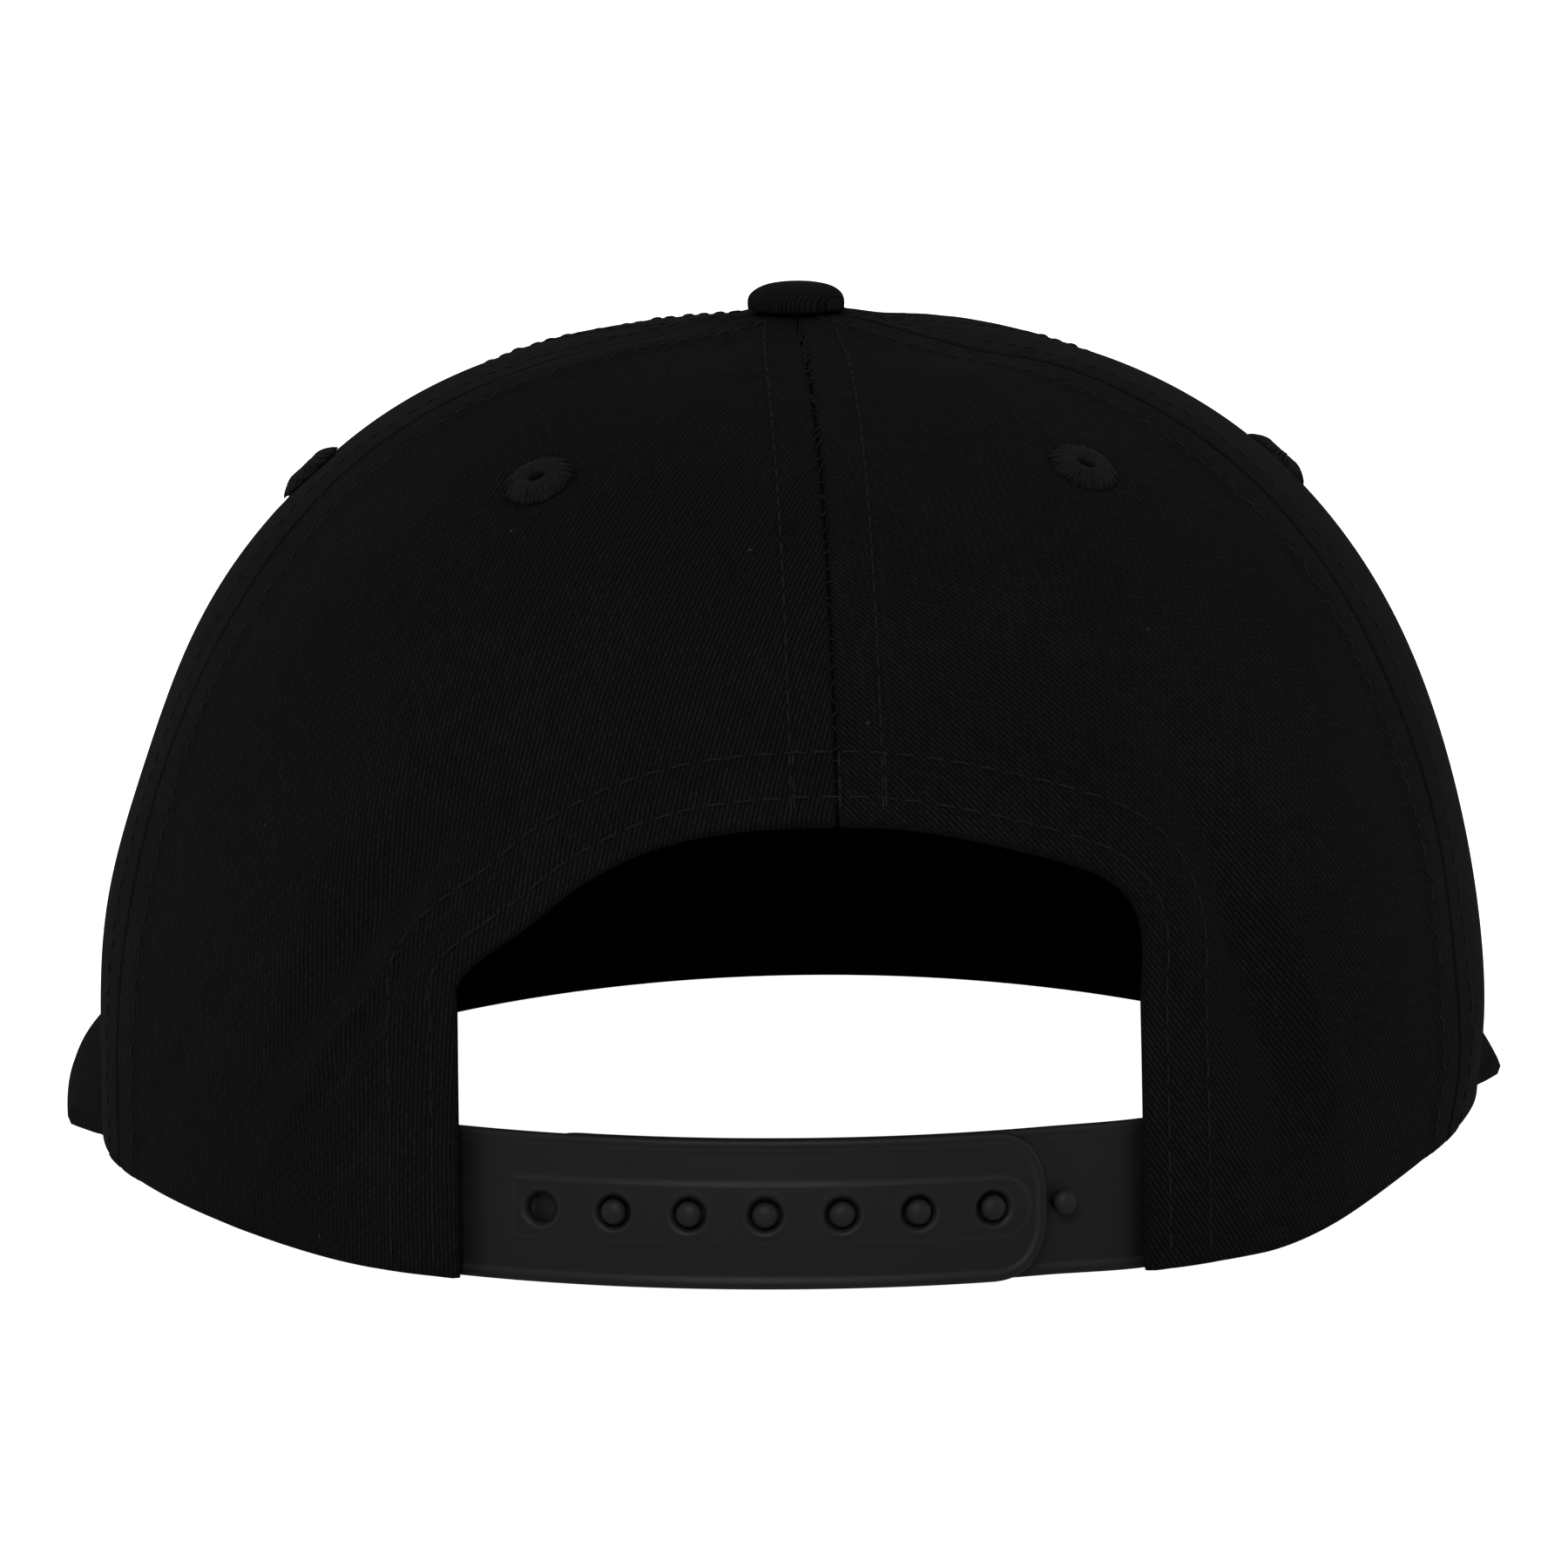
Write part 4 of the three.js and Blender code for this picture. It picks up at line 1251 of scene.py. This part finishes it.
def visor_piece():
    """The covered board from under the front panels to its edge."""
    visor, crown = setting("visor"), setting("crown")
    rounding = visor.thickness * 0.45
    u, v = np.meshgrid(np.linspace(0, 1, 231), np.linspace(0, 1, 91), indexing="ij")
    span = 360 - 2 * visor.root_azimuth
    a = np.radians(visor.root_azimuth + span * u)
    wide, deep = crown.half_width - crown.wall, crown.front - crown.wall
    root = np.stack([wide * np.sin(a), deep * np.cos(a)], -1)
    edge = visor_edge(u * np.pi, rounding)
    plan = root + (edge - root) * v[..., None]
    relief = visor_relief(plan[..., 0], plan[..., 1])
    floor = visor_floor(plan[..., 0])
    y = plan[..., 1] + VISOR_LOW.y + visor.past_axis
    top = np.stack([plan[..., 0], y, floor + visor.thickness + relief], -1)
    low = np.stack([plan[..., 0], y, floor - relief], -1)
    grain = np.radians(38)
    cloth = np.stack([
        plan[..., 0] * np.cos(grain) - plan[..., 1] * np.sin(grain),
        plan[..., 0] * np.sin(grain) + plan[..., 1] * np.cos(grain),
    ], -1)
    piece = new_piece("visor_board", walled(top, low, cloth, rounding), twill_finish())
    placed(piece, "twill", "visor")


def visor_stitching():
    """Rows that follow the visor's edge, on its top and its underside."""
    visor, crown = setting("visor"), setting("crown")
    rows = []
    for inset in visor_rows():
        turn = np.linspace(0, np.pi, 900)
        plan = visor_edge(turn, inset)
        outside = (plan[:, 0] / crown.half_width) ** 2 + (plan[:, 1] / crown.front) ** 2 > 1.02
        plan = plan[outside & (plan[:, 1] < -0.028)]
        y = plan[:, 1] + VISOR_LOW.y + visor.past_axis
        floor = visor_floor(plan[:, 0])
        dip = stitch_dip(0, 0)
        for side in (1, -1):
            z = floor + visor.thickness + dip if side > 0 else floor - dip
            path = np.stack([plan[:, 0], y, z], -1)
            outward = np.broadcast_to((0.0, 0.0, float(side)), path.shape)
            rows.append(stitched(path, outward, setting("trim").pitch))
    piece = new_piece("visor_topstitching", together(*rows), thread_finish())
    placed(piece, "embroidery")


# Sweatband

def opening_edge(side):
    return setting("opening").centre + side * setting("opening").half_width


def strap_azimuth(along):
    """Azimuth of a place on the strap, counted in metres from the back's middle toward +X."""
    return np.degrees(along / (setting("crown").half_width - setting("crown").wall))


def strap_root(side):
    """The hidden end of a strap, counted along it from the back's middle."""
    wide = setting("crown").half_width
    return np.arcsin(opening_edge(side) / wide) * wide + side * setting("strap").hidden


def band_foot(azimuth):
    """Lower edge of the band: above the crown's edge at the back, below the visor in front."""
    band, crown = setting("band"), setting("crown")
    front = smoothstep(-np.cos(np.radians(azimuth)), 0.1, 0.7)
    drop = band.lift + crown.clearance + setting("visor").thickness + band.drop
    return rim_height(azimuth) + band.lift - drop * front


def sweatband():
    """A folded strip round the inside, thicker at its rolled lower edge, with one row of stitches."""
    band, crown = setting("band"), setting("crown")
    start = strap_azimuth(strap_root(1)) + 1
    end = 360 + strap_azimuth(strap_root(-1)) - 1
    rounding = band.thickness / 2
    azimuth, v = np.meshgrid(np.linspace(start, end, 331), np.linspace(0, 1, 33), indexing="ij")
    height = band_foot(azimuth) + rounding + (band.height - 2 * rounding) * v
    outer_inset = crown.wall + band.gap
    roll_depth, roll_width = 0.0007, 0.0022
    row, groove_depth, groove_width = 0.0042, 0.0002, 0.0007
    wave_depth, wave_count = 0.00012, 37
    roll = roll_depth * np.exp(-((v * band.height / roll_width) ** 2))
    groove = groove_depth * np.exp(-(((v * band.height - row) / groove_width) ** 2))
    wave = wave_depth * np.sin(np.radians(azimuth) * wave_count) * v
    outer = crown_point(azimuth, height, outer_inset)
    inner = crown_point(azimuth, height, outer_inset + band.thickness + roll - groove + wave)
    travel = np.radians(azimuth) * (crown.half_width + crown.front) / 2
    cloth = np.stack([travel, v * band.height], -1)
    piece = new_piece("sweat_band", walled(outer, inner, cloth, rounding), band_finish())
    placed(piece, "band_cloth", "sweatband")
    long = float(np.linalg.norm(np.diff(inner[:, 16], axis=0), axis=1).sum())
    turn = np.linspace(start + 1, end - 1, 2600)
    level = band_foot(turn) + row
    past_groove = 0.0003
    path = crown_point(turn, level, outer_inset + band.thickness + past_groove)
    stitches = stitched(path, -crown_normal(turn, level), setting("trim").pitch)
    stitches = new_piece("band_topstitching", stitches, thread_finish())
    placed(stitches, "embroidery")


# Snap strap

def outer_tip():
    strap = setting("strap")
    return strap.first_hole - (strap.holes - 1) * strap.pitch - strap.end_margin


def outer_inset(along):
    return setting("crown").wall + setting("strap").gap + 0 * along


def inner_inset(along):
    """The inner strap lies under the outer one and comes forward to the panel beside it."""
    strap = setting("strap")
    tip, edge = outer_tip(), strap_root(-1) + strap.hidden
    under = smoothstep(along, edge, tip)
    return outer_inset(along) + (strap.thickness + setting("crown").clearance) * under


def strap_point(along, off, inset):
    """A place on a strap: along it from the back's middle, and off its middle line."""
    strap = setting("strap")
    height = strap.lift + strap.width / 2 + off
    return crown_point(strap_azimuth(along), height, inset)


def end_distance(along, off, tip, direction):
    """Distance in from a strap's outline: its straight edges, or a superellipse at the rounded end,
    measured along the ray from the end's centre."""
    strap = setting("strap")
    half, power = strap.width / 2, 2.5
    past = np.maximum(direction * (along - tip) + strap.end_length, 0)
    level = ((past / strap.end_length) ** power + (np.abs(off) / half) ** power) ** (1 / power)
    ray = np.hypot(past, off)
    return np.where(past > 0, ray / np.maximum(level, 0.05) * (1 - level), half - np.abs(off))


def panel_distance(along, off, tip):
    """Distance in from the outline of the long raised panel, which ends in a half circle."""
    strap = setting("strap")
    half = strap.panel_half
    past = np.maximum(tip + strap.panel_end + half - along, 0)
    side = np.where(past > 0, half - np.hypot(past, off), half - np.abs(off))
    return np.minimum(side, strap.panel_start - along)


def line_at(distance, place):
    """A thin line, one on a distance and fading to nothing within a fifth of a millimetre."""
    return np.exp(-(((distance - place) / 0.0002) ** 2))


def strap_relief(along, off, tip, direction):
    """Raised border along the outline and, on the outer strap, a raised long panel with one square
    and one round end."""
    strap = setting("strap")
    edge = end_distance(along, off, tip, direction)
    relief = 1 - smoothstep(edge, strap.border - 0.00012, strap.border + 0.00012)
    if direction < 0:
        relief = relief + 0.8 * smoothstep(panel_distance(along, off, tip), -0.00012, 0.00012)
    return strap.relief * relief


def strap_plate(root, tip, inset, holes):
    """A strap's plate: a grid along and across it, cut to the rounded end and the holes."""
    strap = setting("strap")
    direction = float(np.sign(tip - root))
    rounding = 0.00035
    cell = 0.00032
    half = strap.width / 2 - rounding
    along = np.linspace(root, tip, int(abs(tip - root) / cell))
    off = np.linspace(-half, half, int(2 * half / cell))
    along, off = np.meshgrid(along, off, indexing="ij")

    def hole_distance(p, q):
        found = np.full(np.shape(p), 1.0)
        for hole in holes:
            found = np.minimum(found, np.hypot(p - hole, q))
        return found

    def distance(p, q):
        ends = end_distance(p, q, tip, direction) - rounding
        ends = np.where(direction * (p - tip) > -strap.end_length, ends, 1.0)
        return np.minimum(ends, hole_distance(p, q) - strap.hole_radius - rounding)

    def place(p, q):
        return strap_point(p, q, inset(p))

    along, off, kept = cut_grid(along, off, distance, place, cell)
    relief = strap_relief(along, off, tip, direction)
    from_hole = hole_distance(along, off)
    slope, lip_share, lip_width = 0.9, 0.35, 0.0002
    sink = np.maximum(strap.sink_radius - from_hole, 0) * slope
    past_lip = (from_hole - strap.sink_radius - lip_width) / lip_width
    lip = strap.relief * lip_share * np.exp(-(past_lip**2))
    outer = strap_point(along, off, inset(along) - relief + sink - lip)
    inner = strap_point(along, off, inset(along) + strap.thickness)
    edge = end_distance(along, off, tip, direction)
    # painted highlight and wear: thin lighter lines at the border's inner edge, the outer edge, the
    # countersinks' mouths and the long panel's outline
    wear_and_highlight = line_at(edge, strap.border) + line_at(edge, 0.0002) + line_at(from_hole, strap.sink_radius)
    wear_and_highlight = wear_and_highlight + line_at(panel_distance(along, off, tip), 0) * (direction < 0)
    return walled(outer, inner, np.stack([along, off, wear_and_highlight], -1), rounding, kept)


def peg(along, inset):
    """A domed peg on the inner strap: a neck that widens to a round head."""
    strap, crown = setting("strap"), setting("crown")
    rise = strap.thickness + crown.clearance
    turn = np.linspace(0, np.pi / 2, 11)[:-1]
    # painted highlight and wear: the last value is the share by which the peg heads are lightened
    swell, bluntness, rubbing_and_highlight = 0.00005, 0.9, 0.6
    head = strap.peg_radius + swell
    dome = head * np.cos(turn) ** bluntness, rise + strap.peg_dome * np.sin(turn) ** bluntness
    dome = np.stack(dome, -1)
    low = -strap.thickness / 2
    neck = [(0, low), (strap.peg_neck, low), (strap.peg_neck, rise * 0.45)]
    shoulder = [(strap.peg_neck * 1.1, rise * 0.62), (head * 0.97, rise * 0.85)]
    profile = np.concatenate([neck, shoulder, dome, [(0, rise + strap.peg_dome)]])
    at = strap_azimuth(np.array([along])), np.array([strap.lift + strap.width / 2])
    base = crown_point(*at, inset(np.array([along])))[0]
    points, faces, cloth = on_axis(turned(profile, 40), base, crown_normal(*at)[0])
    return points, faces, np.pad(cloth, ((0, 0), (0, 1)), constant_values=rubbing_and_highlight)


def snap_straps():
    """The outer strap with its holes and the inner one with its pegs."""
    strap = setting("strap")
    holes = [strap.first_hole - k * strap.pitch for k in range(strap.holes)]
    plate = strap_plate(strap_root(1), outer_tip(), outer_inset, holes)
    piece = new_piece("hole_strap", plate, plastic_finish())
    placed(piece, "snap_plastic", "snap_strap_holes")
    pegs = [hole - strap.pitch for hole in holes]
    plate = strap_plate(strap_root(-1), holes[0] + strap.underlap, inner_inset, [])
    shape = together(plate, *(peg(along, inner_inset) for along in pegs))
    piece = new_piece("peg_strap", shape, plastic_finish())
    placed(piece, "snap_plastic", "snap_strap_pegs")


# Stage

def floor_finish():
    finish, wires, shader = new_finish("pale_floor", {"Roughness": 0.9, "Emission Strength": 1.0})
    if wires is None:
        return finish
    place = wires.node("ShaderNodeTexCoord").outputs["Object"]
    pale = setting("stage").floor
    low = tuple(0.985 * value for value in pale)
    wires.feed(shader.inputs["Base Color"], wires.mix(wires.noise(place, 3.0), full(low), full(pale)))
    seen = wires.node("ShaderNodeLightPath").outputs["Is Camera Ray"]
    wires.feed(shader.inputs["Emission Color"], wires.mix(seen, (0, 0, 0, 1), (1, 1, 1, 1)))
    return finish


def pale_floor():
    """A wide level sheet under the cap."""
    side, count, below = 12.0, 9, 0.0004
    ticks = np.linspace(-side, side, count)
    x, y = np.meshgrid(ticks, ticks, indexing="ij")
    index = np.arange(count * count).reshape(count, count)
    quads = np.stack([index[:-1, :-1], index[1:, :-1], index[1:, 1:], index[:-1, 1:]], -1)
    points = np.stack([x, y, 0 * x - below], -1).reshape(-1, 3)
    floor = new_piece("pale_floor", (points, [quads.reshape(-1, 4)], points[:, :2]), floor_finish())


def soft_light(light):
    """A large area lamp that faces the cap."""
    middle = Vector((0, 0.03, 0.05))
    lamp = bpy.data.lights.new(light["name"], "AREA")
    lamp.shape = "RECTANGLE"
    lamp.size, lamp.size_y, lamp.energy = light["width"], light["tall"], light["power"]
    shown = bpy.data.objects.new(light["name"], lamp)
    bpy.context.scene.collection.objects.link(shown)
    shown.location = light["place"]
    shown.rotation_euler = (middle - shown.location).to_track_quat("-Z", "Y").to_euler()
    shown.visible_camera = False


def pale_world():
    """White behind the cap for the camera, and a dimmer grey for everything that it lights."""
    world = bpy.data.worlds.new("pale_world")
    world.use_nodes = True
    wires = Wires(world.node_tree)
    ground = world.node_tree.nodes["Background"]
    rays = wires.node("ShaderNodeLightPath").outputs["Is Camera Ray"]
    wires.feed(ground.inputs["Color"], wires.mix(rays, (0.4, 0.4, 0.4, 1), (1, 1, 1, 1)))
    bpy.context.scene.world = world


def camera():
    """Stands behind and above the strap, and aims at the middle of the picture."""
    stage = setting("stage")
    middle = Vector((0, VISOR_LOW.y + setting("visor").past_axis + setting("crown").back, 0))
    yaw, rise = stage.yaw, stage.elevation
    back = Vector((np.sin(yaw) * np.cos(rise), np.cos(yaw) * np.cos(rise), np.sin(rise)))
    eye = middle + back * stage.distance
    right = (-back).cross(Vector((0, 0, 1))).normalized()
    up = right.cross(-back)
    roll_right = right * np.cos(stage.roll) + up * np.sin(stage.roll)
    roll_up = up * np.cos(stage.roll) - right * np.sin(stage.roll)
    aim = middle + roll_right * stage.aim_side + roll_up * stage.aim_up
    away = (eye - aim).normalized()
    side = roll_up.cross(away).normalized()
    over = away.cross(side)
    lens = bpy.data.cameras.new("camera")
    lens.lens, lens.sensor_width = stage.lens, 36.0
    lens.clip_start, lens.clip_end = 0.05, 60.0
    shown = bpy.data.objects.new("camera", lens)
    bpy.context.scene.collection.objects.link(shown)
    turn = Matrix((side, over, away)).transposed().to_4x4()
    shown.matrix_world = Matrix.Translation(eye) @ turn
    bpy.context.scene.camera = shown


def stage():
    """Floor, soft lights from both sides and above, world and camera."""
    pale_floor()
    for light in LIGHTS:
        soft_light(light)
    pale_world()
    camera()
    bpy.context.scene.view_settings.view_transform = "Standard"


# Add-on

class CAP_OT_crown_panels(bpy.types.Operator):
    """Make the six twill panels of the crown"""

    bl_idname = "cap.crown_panels"
    bl_label = "Crown panels"

    def execute(self, context):
        for panel in PANELS:
            crown_panel(panel)
        return {"FINISHED"}


class CAP_OT_crown_stitching(bpy.types.Operator):
    """Sew the seams and the arch of the crown"""

    bl_idname = "cap.crown_stitching"
    bl_label = "Crown topstitching"

    def execute(self, context):
        crown_stitching()
        return {"FINISHED"}


class CAP_OT_eyelets(bpy.types.Operator):
    """Make an embroidered eyelet in each panel"""

    bl_idname = "cap.eyelets"
    bl_label = "Eyelets"

    def execute(self, context):
        for seed, panel in enumerate(PANELS):
            eyelet(panel, seed)
        return {"FINISHED"}


class CAP_OT_button(bpy.types.Operator):
    """Make the covered button on top"""

    bl_idname = "cap.button"
    bl_label = "Covered button"

    def execute(self, context):
        top_button()
        return {"FINISHED"}


class CAP_OT_visor(bpy.types.Operator):
    """Make the visor and its rows of stitches"""

    bl_idname = "cap.visor"
    bl_label = "Visor"

    def execute(self, context):
        visor_piece()
        visor_stitching()
        return {"FINISHED"}


class CAP_OT_sweatband(bpy.types.Operator):
    """Make the sweatband inside the crown"""

    bl_idname = "cap.sweatband"
    bl_label = "Sweatband"

    def execute(self, context):
        sweatband()
        return {"FINISHED"}


class CAP_OT_straps(bpy.types.Operator):
    """Make the two straps of the snap closure"""

    bl_idname = "cap.straps"
    bl_label = "Snap straps"

    def execute(self, context):
        snap_straps()
        return {"FINISHED"}


class CAP_OT_stage(bpy.types.Operator):
    """Set the floor, the lights and the camera"""

    bl_idname = "cap.stage"
    bl_label = "Stage"

    def execute(self, context):
        stage()
        return {"FINISHED"}


OPERATORS = (
    CAP_OT_crown_panels,
    CAP_OT_crown_stitching,
    CAP_OT_eyelets,
    CAP_OT_button,
    CAP_OT_visor,
    CAP_OT_sweatband,
    CAP_OT_straps,
    CAP_OT_stage,
)


class CAP_PT_sidebar(bpy.types.Panel):
    """The cap's pieces and their sizes"""

    bl_idname = "CAP_PT_sidebar"
    bl_label = "Snapback cap"
    bl_space_type = "VIEW_3D"
    bl_region_type = "UI"
    bl_category = "Cap"

    def draw(self, context):
        for operator in OPERATORS:
            self.layout.operator(operator.bl_idname)
        for name, group in GROUPS.items():
            box = self.layout.box()
            box.label(text=group.__doc__)
            for size in group.__annotations__:
                box.prop(getattr(context.scene, name), size)


def register():
    for name, group in GROUPS.items():
        bpy.utils.register_class(group)
        setattr(bpy.types.Scene, name, bpy.props.PointerProperty(type=group))
    for made in (*OPERATORS, CAP_PT_sidebar):
        bpy.utils.register_class(made)


def unregister():
    for made in reversed((*OPERATORS, CAP_PT_sidebar)):
        bpy.utils.unregister_class(made)
    for name, group in reversed(GROUPS.items()):
        delattr(bpy.types.Scene, name)
        bpy.utils.unregister_class(group)


def main():
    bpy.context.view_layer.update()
    register()
    bpy.ops.cap.stage()
    bpy.ops.cap.crown_panels()
    bpy.ops.cap.crown_stitching()
    bpy.ops.cap.eyelets()
    bpy.ops.cap.button()
    bpy.ops.cap.visor()
    bpy.ops.cap.sweatband()
    bpy.ops.cap.straps()


if __name__ == "__main__":
    main()
